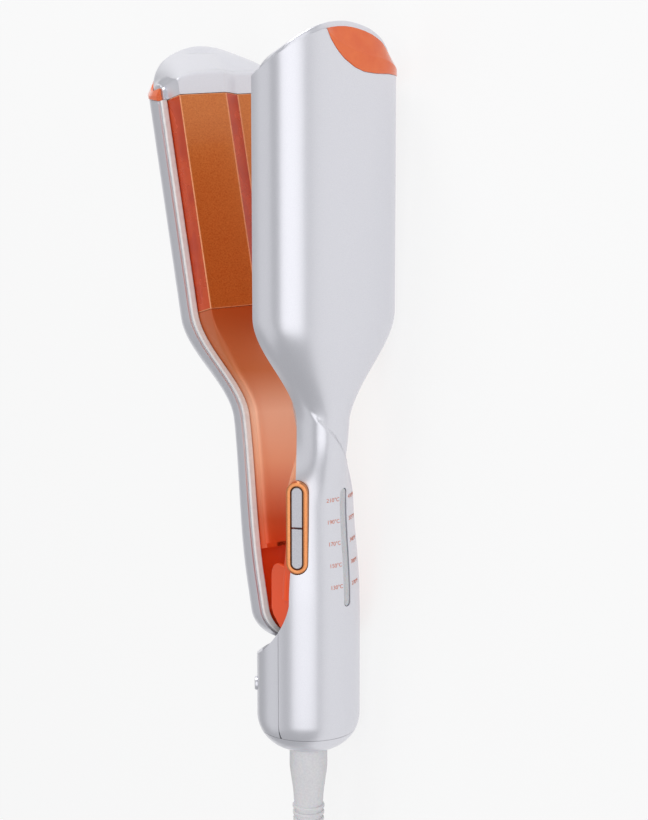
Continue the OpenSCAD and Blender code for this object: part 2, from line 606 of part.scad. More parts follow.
on_table() main_shell();
on_table() rear_shell();
on_table() end_cap();
on_table() chassis();
on_table() color("white") casing_trim(true);  // main_trim
on_table() color("coral") difference() {  // main_liner
    union() {
        liner(true);
        cheeks();
    }
    at_front(-keys_angle, keys_z) slot(bezel_len + 2, bezel_w + 2, bezel_w, 1.5 * handle_r);
}
on_table() plate();  // main_plate
on_table() heater();  // main_heater
on_table() carrier();  // main_carrier
on_table() color("silver") head_cap();  // main_end_cap
on_table() color("coral") tip_insert();  // main_tip_insert
on_table() sensor();  // main_sensor
on_table() board();  // control_board
on_table() board_parts();
on_table() light_strip();
on_table() level_light();
on_table() key_bezel();
on_table() key_board();
on_table() plus_key();
on_table() minus_key();
on_table() power_button();
on_table() power_switch();
on_table() hinge_pin();
on_table() opening_spring();
lever_part() color("silver") casing(false);  // lever_shell
lever_part() color("white") casing_trim(false);  // lever_trim
lever_part() color("coral") union() {  // lever_liner
    liner(false);
    tail_tray();
}
lever_own() lever_knuckle();
lever_part() plate();  // lever_plate
lever_part() heater();  // lever_heater
lever_part() carrier();  // lever_carrier
lever_part() color("silver") head_cap();  // lever_end_cap
lever_part() color("coral") tip_insert();  // lever_tip_insert
lever_part() sensor();  // lever_sensor
on_table() strain_relief();
on_table() swivel_terminal();
cord();
cord_coil();
cord_tail();
plug();
plug_pins();
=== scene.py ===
"""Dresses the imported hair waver: smooth casings, wave plates, controls, print and cord."""
import json
import math

import bmesh
import bpy
from mathutils import Matrix, Vector

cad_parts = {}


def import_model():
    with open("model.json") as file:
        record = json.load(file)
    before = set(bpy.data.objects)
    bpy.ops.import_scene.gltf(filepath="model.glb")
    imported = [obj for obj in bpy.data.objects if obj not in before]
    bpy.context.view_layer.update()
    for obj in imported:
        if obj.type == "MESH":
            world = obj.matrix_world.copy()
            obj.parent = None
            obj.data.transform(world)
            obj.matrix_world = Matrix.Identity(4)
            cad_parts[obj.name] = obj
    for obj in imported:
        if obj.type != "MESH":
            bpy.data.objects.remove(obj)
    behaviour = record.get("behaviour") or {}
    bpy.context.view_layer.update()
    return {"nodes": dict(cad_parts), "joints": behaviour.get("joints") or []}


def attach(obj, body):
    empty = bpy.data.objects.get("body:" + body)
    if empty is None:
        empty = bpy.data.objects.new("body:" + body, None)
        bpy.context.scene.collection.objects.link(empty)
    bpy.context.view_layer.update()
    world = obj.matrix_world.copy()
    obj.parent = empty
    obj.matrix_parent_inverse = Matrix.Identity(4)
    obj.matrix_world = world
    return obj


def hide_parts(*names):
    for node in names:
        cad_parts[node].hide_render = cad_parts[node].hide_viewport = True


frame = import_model()

# ---- the tool's own frame, in millimetres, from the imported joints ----
# z runs along the tool from its cord end, x is its width and the arms close on y = 0.
MM = 0.001
JOINTS = {joint["name"]: joint for joint in frame["joints"]}
SWIVEL = JOINTS["cord_swivel_spin"]
HINGE = JOINTS["lever_hinge"]
X_AXIS, Z_AXIS = Vector(HINGE["axis"]), Vector(SWIVEL["axis"])
Y_AXIS = Z_AXIS.cross(X_AXIS)
TURN = Matrix((X_AXIS, Y_AXIS, Z_AXIS)).transposed().to_4x4()
TOOL = Matrix.Translation(SWIVEL["pos_m"]) @ TURN @ Matrix.Scale(MM, 4)
PIVOT = TOOL.inverted() @ Vector(HINGE["pos_m"])
HINGE_Y, HINGE_Z = PIVOT.y, PIVOT.z
OPEN_ANGLE = HINGE["range_deg"][1]
OPENED = (Matrix.Translation((0, HINGE_Y, HINGE_Z)) @ Matrix.Rotation(-math.radians(OPEN_ANGLE), 4, "X")
          @ Matrix.Translation((0, -HINGE_Y, -HINGE_Z)))
LEVER = TOOL @ OPENED @ Matrix.Rotation(math.pi, 4, "Z")
# Each arm's place and body. The lever is drawn as the fixed arm is, turned half round and opened.
ARM = {True: (TOOL, "handle"), False: (LEVER, "lever")}

# ---- sizes that the solids have too, in millimetres ----
HANDLE_R, GRIP_TOP_R = 20, 17.8
SPLIT_Z, GRIP_TOP_Z = 62, 104
SEAM_Z, END_ROUND = 8, 14
RIM_Y, GRIP_RIM_Y = 8.5, 12.5
HEAD_W, HEAD_D, NECK_W, NECK_D = 28.5, 21, 9.8, 13.5
LEVER_NECK_W, TAIL_W, TAIL_D, TAIL_ROUND, TAIL_TOP_Z = 12.5, 16.5, 17, 14, 70
NECK_Z, HEAD_Z, END_Z = 132, 174, 262.5
# The grip starts to fade GRIP_FADE below its top, and the tail has faded TAIL_FADE above NECK_Z.
GRIP_FADE, TAIL_FADE = 4, 8
WALL, SQUARENESS, SEAT = 2, 2.7, 0.15
PLATE_Z0, PLATE_Z1, PLATE_T = 174, 258, 1.5
WAVE_W, WAVE_H, RAMP_W, CLOSE_GAP = 24.1, 2.5, 3.8, 0.6
# The wave grows over this length below the plates.
WAVE_RUN = 28
TRIM_W, TRIM_T, BEAD_PAST_KEYS = 1.7, 1, 13.5
LINER_WALL, LINER_LEVEL = 1.6, 3
# Rounding of a liner's section at the neck and at the plates.
NECK_ROUND, HEAD_ROUND = 4.5, 0.4
SCOOP_Y, SCOOP_Z = 16, 66
SCOOP_R = math.hypot(SCOOP_Y + GRIP_RIM_Y, SCOOP_Z - SPLIT_Z)
KEYS_ANGLE, KEYS_Z, BEZEL_LEN, BEZEL_W = 42.7, 92.5, 36, 8.4
KEYS_CUT_R, LIGHT_CUT_R, CUT_OUT_R = 8, 12, 30
LIGHT_ANGLE, LIGHT_Z, LIGHT_LEN, LIGHT_W, LIGHT_SUNK = 18.8, 83.5, 46, 3.4, 0.35
LIGHT_BEHIND, LIGHT_EDGE = 1.5, 0.4
POWER_ANGLE, POWER_Z, POWER_R, POWER_GAP, POWER_FOOT, POWER_PROUD = 120, 25.5, 2.75, 0.3, 15.4, 0.9
INSERT_FROM = -0.25
LEVER_TIP_Z = HINGE_Z - 11
TRAY_Z, TRAY_Y = 80, 10.6
CHEEK_X, CHEEK_T, CHEEK_TOP_Y, CHEEK_Z1, CHEEK_ROUND = 12.5, 1.6, 4.2, TRAY_Z - 4, 6
CHEEK_GAP, CHEEK_BACK_Y, CHEEK_BEND_Y, CHEEK_FOOT_Z = 2.5, -10.6, -5.2, 57
# How far the fixed liner flares out beside the grip: by FLARE up to SKIRT_Z, growing to SKIRT over
# SKIRT_RUN. Either fades as the grip does.
FLARE, SKIRT, SKIRT_Z, SKIRT_RUN = 4.4, 6.6, 100, 8
CORD_R, RELIEF_LEN, COLLAR_R, SWIVEL_GAP = 3.25, 52, 7.4, 0.3
RIBS, RIB_PITCH, FIRST_RIB_Z, FLANGE_R, FLANGE_Z0, FLANGE_Z1 = 10, 2.7, -24, 9.6, 2.6, 4.6
HEAD_FACE_W = HEAD_W - WALL - TRIM_W - SEAT


# ---- curves along the tool ----
def mix(a, b, share):
    return a + (b - a) * share


def ease(x):
    x = min(1, max(0, x))
    return x * x * (3 - 2 * x)


def span(low, high, count):
    return [mix(low, high, i / count) for i in range(count + 1)]


def widen(z):
    return ease((z - NECK_Z) / (HEAD_Z - NECK_Z))


def grip_r(z):
    if z < END_ROUND:
        return HANDLE_R - END_ROUND + math.sqrt(END_ROUND ** 2 - (END_ROUND - z) ** 2)
    return mix(HANDLE_R, GRIP_TOP_R, ease((z - SPLIT_Z) / (GRIP_TOP_Z - SPLIT_Z)))


def grip_share(z):
    return 1 - ease((z - GRIP_TOP_Z + GRIP_FADE) / (NECK_Z - GRIP_TOP_Z))


def tail_share(z):
    return 1 - ease((z - TAIL_TOP_Z) / (NECK_Z + TAIL_FADE - TAIL_TOP_Z))


def tail_scale(z):
    left = max(0, 1 - (z - LEVER_TIP_Z) / TAIL_ROUND)
    return max(0.2, math.sqrt(1 - left * left))


def grip_rim(z):
    """Distance of the grip shell's rim in front of the closing plane."""
    if z >= SPLIT_Z:
        return GRIP_RIM_Y
    reach = SCOOP_R ** 2 - (SCOOP_Z - z) ** 2
    return max(RIM_Y, math.sqrt(reach) - SCOOP_Y) if reach > 0 else RIM_Y


# ---- cross-sections: t runs from -1 to 1 round an arm's back ----
def around(a, b, t):
    s, c = math.sin(t * math.pi / 2), math.cos(t * math.pi / 2)
    r = (abs(s / a) ** SQUARENESS + abs(c / b) ** SQUARENESS) ** (-1 / SQUARENESS)
    return Vector((r * s, -RIM_Y - r * c))


def arm_point(z, t, inset):
    return around(mix(NECK_W, HEAD_W, widen(z)) - inset, mix(NECK_D, HEAD_D, widen(z)) - inset, t)


def lever_size(z):
    """Half of the lever casing's width, and its depth behind the rim."""
    scale, tail = tail_scale(z), tail_share(z)
    width = mix(mix(LEVER_NECK_W, HEAD_W, widen(z)), TAIL_W, tail)
    return width * scale, mix(mix(NECK_D, HEAD_D, widen(z)), TAIL_D, tail) * scale


def grip_point(z, t, inset):
    r = grip_r(z) - inset
    angle = t * math.acos(min(1, grip_rim(z) / r))
    return Vector((r * math.sin(angle), -r * math.cos(angle)))


def casing_point(main, z, t, inset):
    if not main:
        a, b = lever_size(z)
        return around(a - inset, b - inset, t)
    return arm_point(z, t, inset).lerp(grip_point(z, t, inset), grip_share(z))


# The step down from the grip to the neck runs along a curve of (share round the back, height).
LEDGE = [(-1, 143), (-0.7, 139.5), (-0.5, 136.8), (-0.35, 134.2), (-0.2, 131.3), (-0.05, 128), (0.06, 125),
         (0.17, 121.8), (0.3, 118.4), (0.45, 115), (0.6, 112), (0.75, 108.6), (0.87, 104), (1, 96)]
LEDGE_DEPTH, LEDGE_RUN, LEDGE_FADE = 1.1, 1.2, 30
# Where it fades in and out round the back: each fade's start and its run, in shares.
LEDGE_IN, LEDGE_OUT = (-0.7, 0.6), (0.88, 0.12)


def ledge(z, t):
    """Depth of the step, which fades out up the neck and towards both rims."""
    beyond = z - between(LEDGE, t)
    fade = ((1 - ease(beyond / LEDGE_FADE)) * ease((t - LEDGE_IN[0]) / LEDGE_IN[1])
            * (1 - ease((t - LEDGE_OUT[0]) / LEDGE_OUT[1])))
    return LEDGE_DEPTH * ease(beyond / LEDGE_RUN) * fade


# Heights above END_Z, by the share round an arm's back: of the casing's end, and of the insert's foot.
END_EDGE = [(-1, 0.4), (-0.86, 3.9), (-0.75, 7.2), (-0.66, 9.9), (-0.58, 12.4), (-0.5, 14.5), (-0.42, 16.1),
            (-0.32, 17.5), (-0.22, 18.3), (-0.1, 18.6), (0, 18.5), (0.09, 18.1), (0.18, 17.4), (0.27, 16.4),
            (0.36, 15.1), (0.44, 13.4), (0.5, 11.9), (0.55, 10.2), (0.6, 8.3), (0.64, 6.6), (0.68, 4.8),
            (0.72, 3), (0.78, 1.4), (0.86, 0.6), (1, 0.4)]
INSERT_EDGE = [(-0.25, 18.1), (-0.21, 14.6), (-0.16, 11.7), (-0.1, 9.1), (-0.04, 7), (0.09, 3.8), (0.21, 2),
               (0.36, 1), (0.52, 0.5), (0.67, -0.6), (0.85, -2.5), (1, -4.5)]


def between(points, t):
    """Height at t on a line through (t, height) points."""
    for (t0, low), (t1, high) in zip(points, points[1:]):
        if t <= t1:
            break
    return mix(low, high, max(0, t - t0) / (t1 - t0))


def end_height(t):
    return END_Z + between(END_EDGE, t)


def insert_line(t):
    return END_Z + between(INSERT_EDGE, t)


def casing_height(z, t):
    end = end_height(t) if t < INSERT_FROM else insert_line(t) - SEAT
    return z + (end - END_Z) * max(0, (z - HEAD_Z) / (END_Z - HEAD_Z))


def face_half_w(main, z):
    return casing_point(main, z, 1, WALL).x - TRIM_W - SEAT


def wave_share(z):
    return ease((z - PLATE_Z0 + WAVE_RUN) / WAVE_RUN)


# ---- mesh tools ----
def new_object(name, data):
    """An object in the scene that holds this mesh, curve, lamp or camera."""
    thing = bpy.data.objects.new(name, data)
    bpy.context.scene.collection.objects.link(thing)
    return thing


def merge(bm):
    bmesh.ops.remove_doubles(bm, verts=bm.verts, dist=1e-4)


def solid(name, bm, place):
    """Makes a bmesh in tool millimetres into an object at its place, and frees the bmesh."""
    bmesh.ops.recalc_face_normals(bm, faces=bm.faces)
    mesh = bpy.data.meshes.new(name)
    bm.to_mesh(mesh)
    bm.free()
    mesh.transform(place)
    return new_object(name, mesh)


def finish_mesh(name, bm, place, body, slot, material, replaces=(), bevel=0.0, angle=35, segments=2):
    """Makes a bmesh in tool millimetres into a piece that rides on a body."""
    merge(bm)
    piece = solid(name, bm, place)
    mesh = piece.data
    for face in mesh.polygons:
        face.use_smooth = True
    mesh.set_sharp_from_angle(angle=math.radians(angle))
    for one in material if isinstance(material, list) else [material]:
        mesh.materials.append(one)
    if bevel:
        round_edges(piece, bevel, angle, segments)
    if replaces:
        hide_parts(*replaces)
    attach(piece, body)
    return piece


def round_edges(piece, width, angle, segments):
    bevel = piece.modifiers.new("rounded edges", "BEVEL")
    bevel.width = width * MM
    bevel.segments = segments
    bevel.limit_method = "ANGLE"
    bevel.angle_limit = math.radians(angle)
    bevel.harden_normals = True
    return bevel


def cut(piece, *cutters):
    """Takes the cutters out of the piece's mesh and removes them."""
    for cutter in cutters:
        boolean = piece.modifiers.new("cut", "BOOLEAN")
        boolean.operation = "DIFFERENCE"
        boolean.solver = "EXACT"
        boolean.object = cutter
    while piece.modifiers[0].type == "BEVEL":
        piece.modifiers.move(0, len(piece.modifiers) - 1)
    shown = [m for m in piece.modifiers if m.type == "BEVEL"]
    for bevel in shown:
        bevel.show_viewport = False
    graph = bpy.context.evaluated_depsgraph_get()
    mesh = bpy.data.meshes.new_from_object(piece.evaluated_get(graph))
    for boolean in [m for m in piece.modifiers if m.type == "BOOLEAN"]:
        piece.modifiers.remove(boolean)
    piece.data = mesh
    for bevel in shown:
        bevel.show_viewport = True
    mesh.set_sharp_from_angle(angle=math.radians(35))
    for cutter in cutters:
        bpy.data.objects.remove(cutter)


def verts_in(geom):
    return [v for v in geom if isinstance(v, bmesh.types.BMVert)]


def skin(rings):
    """An open skin through rings of equally many points: its bmesh, the layer that holds each point's
    place in its ring, and the edges of the first and the last ring."""
    bm = bmesh.new()
    place = bm.verts.layers.int.new("place")
    verts = [bm.verts.new(p) for p in rings[0]]
    for i, vert in enumerate(verts):
        vert[place] = i
    edges = [bm.edges.new((verts[i - 1], verts[i])) for i in range(len(verts))]
    first = list(edges)
    for ring in rings[1:]:
        grown = bmesh.ops.extrude_edge_only(bm, edges=edges)["geom"]
        fresh = set(verts_in(grown))
        edges = [e for e in grown if isinstance(e, bmesh.types.BMEdge) and set(e.verts) <= fresh]
        for vert in fresh:
            vert.co = ring[vert[place]]
    return bm, place, [first, edges]


def loft(rings, halves=False):
    """A closed skin through rings of equally many points. With halves, a ring's second half runs
    back along its first, and strips between the halves close the ends."""
    bm, place, ends = skin(rings)
    half = len(rings[0]) // 2
    for end in ends:
        if halves:
            sides = [e for e in end if {v[place] for v in e.verts} not in
                     ({half - 1, half}, {0, 2 * half - 1})]
            bmesh.ops.bridge_loops(bm, edges=sides)
        else:
            bmesh.ops.contextual_create(bm, geom=end)
    return bm


def join(bm, part):
    """Adds a part's mesh to a bmesh and frees the part."""
    mesh = bpy.data.meshes.new("part")
    part.to_mesh(mesh)
    part.free()
    bm.from_mesh(mesh)
    bpy.data.meshes.remove(mesh)


def spun(profile, steps=96):
    """Spins a profile of (radius, height) points about the z axis."""
    bm = bmesh.new()
    verts = [bm.verts.new((r, 0, z)) for r, z in profile]
    edges = [bm.edges.new(pair) for pair in zip(verts, verts[1:])]
    bmesh.ops.spin(bm, geom=verts + edges, axis=(0, 0, 1), cent=(0, 0, 0), steps=steps,
                   angle=math.tau, use_merge=True)
    merge(bm)
    return bm


def prism(outline, low, high):
    """Extrudes an outline of (x, y) points along z."""
    bm = bmesh.new()
    face = bm.faces.new([bm.verts.new((x, y, low)) for x, y in outline])
    top = bmesh.ops.extrude_face_region(bm, geom=[face])["geom"]
    bmesh.ops.translate(bm, vec=(0, 0, high - low), verts=verts_in(top))
    return bm


def stadium(length, width, steps=12):
    """Outline of a slot that is long in y."""
    r = width / 2
    top = [(r * math.cos(a), length / 2 - r + r * math.sin(a)) for a in span(0, math.pi, steps)]
    return top + [(-x, -y) for x, y in top]


def at_front(angle, z):
    """Turns a shape drawn in x and y, rising along z, to stand out of the grip at that angle."""
    return (Matrix.Translation((0, 0, z)) @ Matrix.Rotation(math.radians(angle), 4, "Z")
            @ Matrix.Rotation(math.pi / 2, 4, "X"))


def slot_cutter(length, width, low, angle, z):
    """A cutter for the slot that seats a stadium, from the radius low out through the grip's wall."""
    bm = prism(stadium(length + 2 * SEAT, width + 2 * SEAT), low, CUT_OUT_R)
    bmesh.ops.transform(bm, matrix=at_front(angle, z), verts=bm.verts)
    return solid("cutter", bm, TOOL)


# ---- materials ----
def linear(code):
    """Linear colour of an sRGB hex value."""
    parts = [int(code[i:i + 2], 16) / 255 for i in (0, 2, 4)]
    return [c / 12.92 if c <= 0.04045 else ((c + 0.055) / 1.055) ** 2.4 for c in parts] + [1]


def add(tree, kind, settings=None, **links):
    """Adds a node, sets its properties and inputs, and links its inputs from other nodes' sockets."""
    node = tree.nodes.new(kind)
    for name, value in (settings or {}).items():
        if name in node.inputs:
            node.inputs[name].default_value = value
        else:
            setattr(node, name, value)
    for name, source in links.items():
        tree.links.new(source, node.inputs[name.replace("_", " ")])
    return node


def blank(name, **values):
    """A material with its main shader set, and that shader."""
    material = bpy.data.materials.new(name)
    material.use_nodes = True
    shader = material.node_tree.nodes["Principled BSDF"]
    for key, value in values.items():
        shader.inputs[key.replace("_", " ")].default_value = value
    return material, material.node_tree, shader


def object_noise(tree, size_mm, detail=2, roughness=0.5, stretch=(1, 1, 1)):
    """Noise whose grains are about size_mm across, on Object coordinates."""
    place = add(tree, "ShaderNodeTexCoord").outputs["Object"]
    mapping = add(tree, "ShaderNodeMapping", {"Scale": stretch}, Vector=place)
    grain = {"Scale": 1000 / size_mm, "Detail": detail, "Roughness": roughness}
    return add(tree, "ShaderNodeTexNoise", grain, Vector=mapping.outputs["Vector"])


def tint(tree, shader, noise, dark, light, low=0.35, high=0.65):
    ramp = add(tree, "ShaderNodeValToRGB", Fac=noise.outputs["Fac"])
    ramp.color_ramp.elements[0].position, ramp.color_ramp.elements[1].position = low, high
    ramp.color_ramp.elements[0].color, ramp.color_ramp.elements[1].color = linear(dark), linear(light)
    tree.links.new(ramp.outputs["Color"], shader.inputs["Base Color"])


def roughen(tree, shader, noise, low, high):
    spread = add(tree, "ShaderNodeMapRange", {"To Min": low, "To Max": high}, Value=noise.outputs["Fac"])
    tree.links.new(spread.outputs["Result"], shader.inputs["Roughness"])


def bump(tree, shader, noise, height_mm, strength=1.0):
    node = add(tree, "ShaderNodeBump", {"Strength": strength, "Distance": height_mm * MM},
               Height=noise.outputs["Fac"])
    tree.links.new(node.outputs["Normal"], shader.inputs["Normal"])


def silver_lacquer():
    """ABS sprayed with silver lacquer: fine flakes, a soft satin gloss and faint orange peel."""
    material, tree, shader = blank("silver_lacquer", Metallic=0.72, Coat_Weight=0.2, Coat_Roughness=0.15)
    flakes = object_noise(tree, 0.25, 2)
    tint(tree, shader, flakes, "DEDEE5", "E4E4EA")
    roughen(tree, shader, flakes, 0.31, 0.35)
    bump(tree, shader, object_noise(tree, 2.4), 0.006, 0.3)
    return material


def white_gloss():
    """Glossy white ABS, moulded: the bright bead along the casings' rims."""
    material, tree, shader = blank("white_gloss_abs", IOR=1.53)
    grain = object_noise(tree, 2)
    tint(tree, shader, grain, "EDEDEC", "F4F4F3")
    roughen(tree, shader, grain, 0.10, 0.16)
    return material


# Painted light and shade on the copper paint along the tool, by distance in metres: deep red where the liner
# lies in shade, peach where it is lit.
PAINTED_LIGHT_FROM, PAINTED_LIGHT_TO = -0.08, 0.04
PAINTED_LIGHT_STOPS = [(-0.079, "FF5416"), (-0.064, "F0541E"), (-0.052, "DC6034"), (-0.03, "FAAA82"), (-0.012, "FFBE9C"),
         (0.004, "DA7C48"), (0.032, "C25218")]


def copper_satin():
    """Polycarbonate sprayed copper-orange: satin and slightly metallic. Its colour is painted with light and
    shade:
    deep and red where it lies in shade at the hinge and by the plates, and peach between them, where it is
    lit."""
    material, tree, shader = blank("copper_satin_with_painted_light", Metallic=0.2, Coat_Weight=0.1, Coat_Roughness=0.3)
    place = add(tree, "ShaderNodeTexCoord").outputs["Object"]
    parts = add(tree, "ShaderNodeSeparateXYZ", Vector=place)
    reach = {"From Min": PAINTED_LIGHT_FROM, "From Max": PAINTED_LIGHT_TO}
    # Painted light and shade: the colour ramps along the tool's length.
    painted_light_along = add(tree, "ShaderNodeMapRange", reach, Value=parts.outputs["Y"])
    ramp = add(tree, "ShaderNodeValToRGB", Fac=painted_light_along.outputs["Result"])
    stops = ramp.color_ramp.elements
    while len(stops) < len(PAINTED_LIGHT_STOPS):
        stops.new(0.5)
    for stop, (along, code) in zip(stops, PAINTED_LIGHT_STOPS):
        stop.position, stop.color = (along - PAINTED_LIGHT_FROM) / (PAINTED_LIGHT_TO - PAINTED_LIGHT_FROM), linear(code)
    tree.links.new(ramp.outputs["Color"], shader.inputs["Base Color"])
    roughen(tree, shader, object_noise(tree, 0.6), 0.34, 0.42)
    bump(tree, shader, object_noise(tree, 0.8), 0.008, 0.4)
    return material


def orange_gloss():
    """Glossy orange polycarbonate, moulded: the inserts at the heads' corners."""
    material, tree, shader = blank("orange_gloss_pc", IOR=1.58, Coat_Weight=0.5, Coat_Roughness=0.08)
    cloud = object_noise(tree, 6)
    tint(tree, shader, cloud, "F0641E", "F67028")
    roughen(tree, shader, cloud, 0.16, 0.22)
    return material


def sparkle_coating():
    """Ceramic coating with metal flakes, baked on aluminium: grains of 0.6 mm show as a sparkle.
    The real flakes are finer than that, so they are drawn coarser here to show at all."""
    material, tree, shader = blank("sparkle_ceramic", Metallic=0.45, Coat_Weight=0.35, Coat_Roughness=0.12)
    grains = object_noise(tree, 0.6, 4, 0.7)
    tint(tree, shader, grains, "C5611F", "E0883E", 0.3, 0.7)
    roughen(tree, shader, grains, 0.28, 0.42)
    bump(tree, shader, grains, 0.012, 0.6)
    return material


def shaded_red_gloss():
    """The plates' flanks: the same coating, left smooth and glossy, and painted a deeper red as shade."""
    material, tree, shader = blank("smooth_ceramic_painted_shade", Metallic=0.3, Coat_Weight=0.1, Coat_Roughness=0.08)
    cloud = object_noise(tree, 9)
    tint(tree, shader, cloud, "C43A00", "D64A04")
    roughen(tree, shader, cloud, 0.24, 0.30)
    return material


def painted_highlight_orange():
    """A painted highlight: the plates' edges and ends in light orange, as where light catches the coating."""
    material, tree, shader = blank("ceramic_painted_highlight", Metallic=0.2)
    grain = object_noise(tree, 1)
    tint(tree, shader, grain, "F09A66", "F6AC7C")
    roughen(tree, shader, grain, 0.25, 0.32)
    return material


def copper_plate():
    """Copper-coloured vacuum plating on plastic: a satin metal."""
    material, tree, shader = blank("copper_plating", Metallic=0.9)
    grain = object_noise(tree, 0.5, 2, 0.5)
    tint(tree, shader, grain, "D98A55", "E49A66")
    roughen(tree, shader, grain, 0.26, 0.34)
    return material


def key_silver():
    """Keys sprayed silver, a little duller than the casing."""
    material, tree, shader = blank("key_silver_lacquer", Metallic=0.6)
    grain = object_noise(tree, 0.4)
    tint(tree, shader, grain, "B9B9C0", "C6C6CC")
    roughen(tree, shader, grain, 0.34, 0.42)
    return material


def frosted_light():
    """Frosted acrylic light guide, unlit: pale grey, with a soft depth."""
    material, tree, shader = blank("frosted_acrylic", IOR=1.49, Subsurface_Weight=0.2, Subsurface_Scale=0.002)
    grain = object_noise(tree, 0.7)
    tint(tree, shader, grain, "D6D7DA", "DEDFE2")
    roughen(tree, shader, grain, 0.30, 0.40)
    return material


def print_orange():
    """Screen-printed orange-red ink."""
    material, tree, shader = blank("orange_ink")
    grain = object_noise(tree, 0.3)
    tint(tree, shader, grain, "E07A5C", "E88A6C")
    roughen(tree, shader, grain, 0.45, 0.55)
    return material


def white_pvc():
    """Soft white PVC of the cord and its strain relief: matt, with a faint skin texture."""
    material, tree, shader = blank("white_pvc", IOR=1.52, Subsurface_Weight=0.1, Subsurface_Scale=0.002)
    grain = object_noise(tree, 0.8, 3)
    tint(tree, shader, grain, "E4E3E6", "ECEBED")
    roughen(tree, shader, grain, 0.40, 0.50)
    bump(tree, shader, grain, 0.01, 0.4)
    return material


def black_nylon():
    """Glass-filled black nylon: dull, with a fine moulded grain."""
    material, tree, shader = blank("black_nylon", IOR=1.53)
    grain = object_noise(tree, 0.5, 4)
    tint(tree, shader, grain, "1B1B1D", "2A2A2D")
    roughen(tree, shader, grain, 0.5, 0.65)
    bump(tree, shader, grain, 0.02, 0.6)
    return material


def grey_abs():
    """Silver-grey ABS of the frame that shows inside the scoop."""
    material, tree, shader = blank("grey_abs", Metallic=0.5)
    grain = object_noise(tree, 0.8, 3)
    tint(tree, shader, grain, "A9A9B0", "B6B6BC")
    roughen(tree, shader, grain, 0.38, 0.46)
    return material


def steel():
    """Turned stainless steel, with fine rings of tool marks round it."""
    material, tree, shader = blank("turned_steel", Metallic=1.0)
    marks = object_noise(tree, 0.3, 2, 0.5, (1, 1, 8))
    tint(tree, shader, marks, "A6A6A8", "BCBCBE")
    roughen(tree, shader, marks, 0.22, 0.32)
    return material


def brass():
    """Stamped brass."""
    material, tree, shader = blank("stamped_brass", Metallic=1.0)
    grain = object_noise(tree, 0.6)
    tint(tree, shader, grain, "B9913F", "CBA552")
    roughen(tree, shader, grain, 0.25, 0.35)
    return material


def solder_mask():
    """Green solder mask over copper tracks, which show as paler lines."""
    material, tree, shader = blank("green_solder_mask", Coat_Weight=0.4)
    grain = object_noise(tree, 2.5, 1, 0.3, (1, 3, 1))
    tint(tree, shader, grain, "0E4A28", "1C6A3C", 0.48, 0.52)
    roughen(tree, shader, grain, 0.25, 0.35)
    return material


SILVER, WHITE, COPPER, ORANGE = silver_lacquer(), white_gloss(), copper_satin(), orange_gloss()
# The plates' flanks carry painted shade and their edges a painted highlight.
SPARKLE, SHADED_FLANK, HIGHLIGHT_EDGE, PLATED = sparkle_coating(), shaded_red_gloss(), painted_highlight_orange(), copper_plate()
KEY, LIGHT, INK, PVC, NYLON = key_silver(), frosted_light(), print_orange(), white_pvc(), black_nylon()
GREY, STEEL, BRASS, BOARD = grey_abs(), steel(), brass(), solder_mask()


# ---- casings ----
ARC = span(-1, 1, 96)
CASING_EDGE = 0.35
# The fixed casing's rings lie closest between these heights, where most of the step runs.
FINE_Z0, FINE_Z1 = 96, 142


def casing_rings(levels, main):
    rings = []
    for z in levels:
        out = [(*casing_point(main, z, t, ledge(z, t) if main else 0), casing_height(z, t)) for t in ARC]
        back = [(*casing_point(main, z, t, WALL), casing_height(z, t)) for t in reversed(ARC)]
        rings.append([Vector(p) for p in out + back])
    return rings


def main_shell():
    levels = (span(SEAM_Z, END_ROUND, 6) + span(END_ROUND, 50, 9)[1:] + span(50, SPLIT_Z, 12)[1:]
              + span(SPLIT_Z, FINE_Z0, 14)[1:] + span(FINE_Z0, FINE_Z1, 58)[1:]
              + span(FINE_Z1, HEAD_Z, 18)[1:] + span(HEAD_Z, END_Z, 24)[1:])
    bm = loft(casing_rings(levels, True), halves=True)
    piece = finish_mesh("front_casing", bm, TOOL, "handle", "casing", SILVER, ["main_shell"], CASING_EDGE)
    cut(piece,
        slot_cutter(BEZEL_LEN, BEZEL_W, KEYS_CUT_R, -KEYS_ANGLE, KEYS_Z),
        slot_cutter(LIGHT_LEN, LIGHT_W, LIGHT_CUT_R, LIGHT_ANGLE, LIGHT_Z))
    return piece


def rear_shell():
    """The grip's rear cover, drawn in strips round the grip that end on the scooped edge."""
    rim = math.acos(RIM_Y / HANDLE_R) + SEAT / HANDLE_R
    rings = []
    for a in span(rim, math.tau - rim, 90):
        out, back = [], []
        top = SCOOP_Z - math.sqrt(SCOOP_R ** 2 - (SCOOP_Y + HANDLE_R * math.cos(a)) ** 2)
        for z in span(SEAM_Z, END_ROUND, 5) + span(END_ROUND, top, 10)[1:]:
            r = grip_r(z)
            out.append(Vector((r * math.sin(a), -r * math.cos(a), z)))
            back.append(Vector(((r - WALL) * math.sin(a), -(r - WALL) * math.cos(a), z)))
        rings.append(out + back[::-1])
    bm = loft(rings, halves=True)
    piece = finish_mesh("rear_cover", bm, TOOL, "handle", "casing", SILVER, ["rear_shell"], CASING_EDGE)
    hole = bmesh.new()
    through = at_front(-POWER_ANGLE, POWER_Z) @ Matrix.Translation((0, 0, HANDLE_R))
    bmesh.ops.create_cone(hole, cap_ends=True, segments=48, radius1=POWER_R + POWER_GAP,
                          radius2=POWER_R + POWER_GAP, depth=20, matrix=through)
    cut(piece, solid("cutter", hole, TOOL))
    return piece


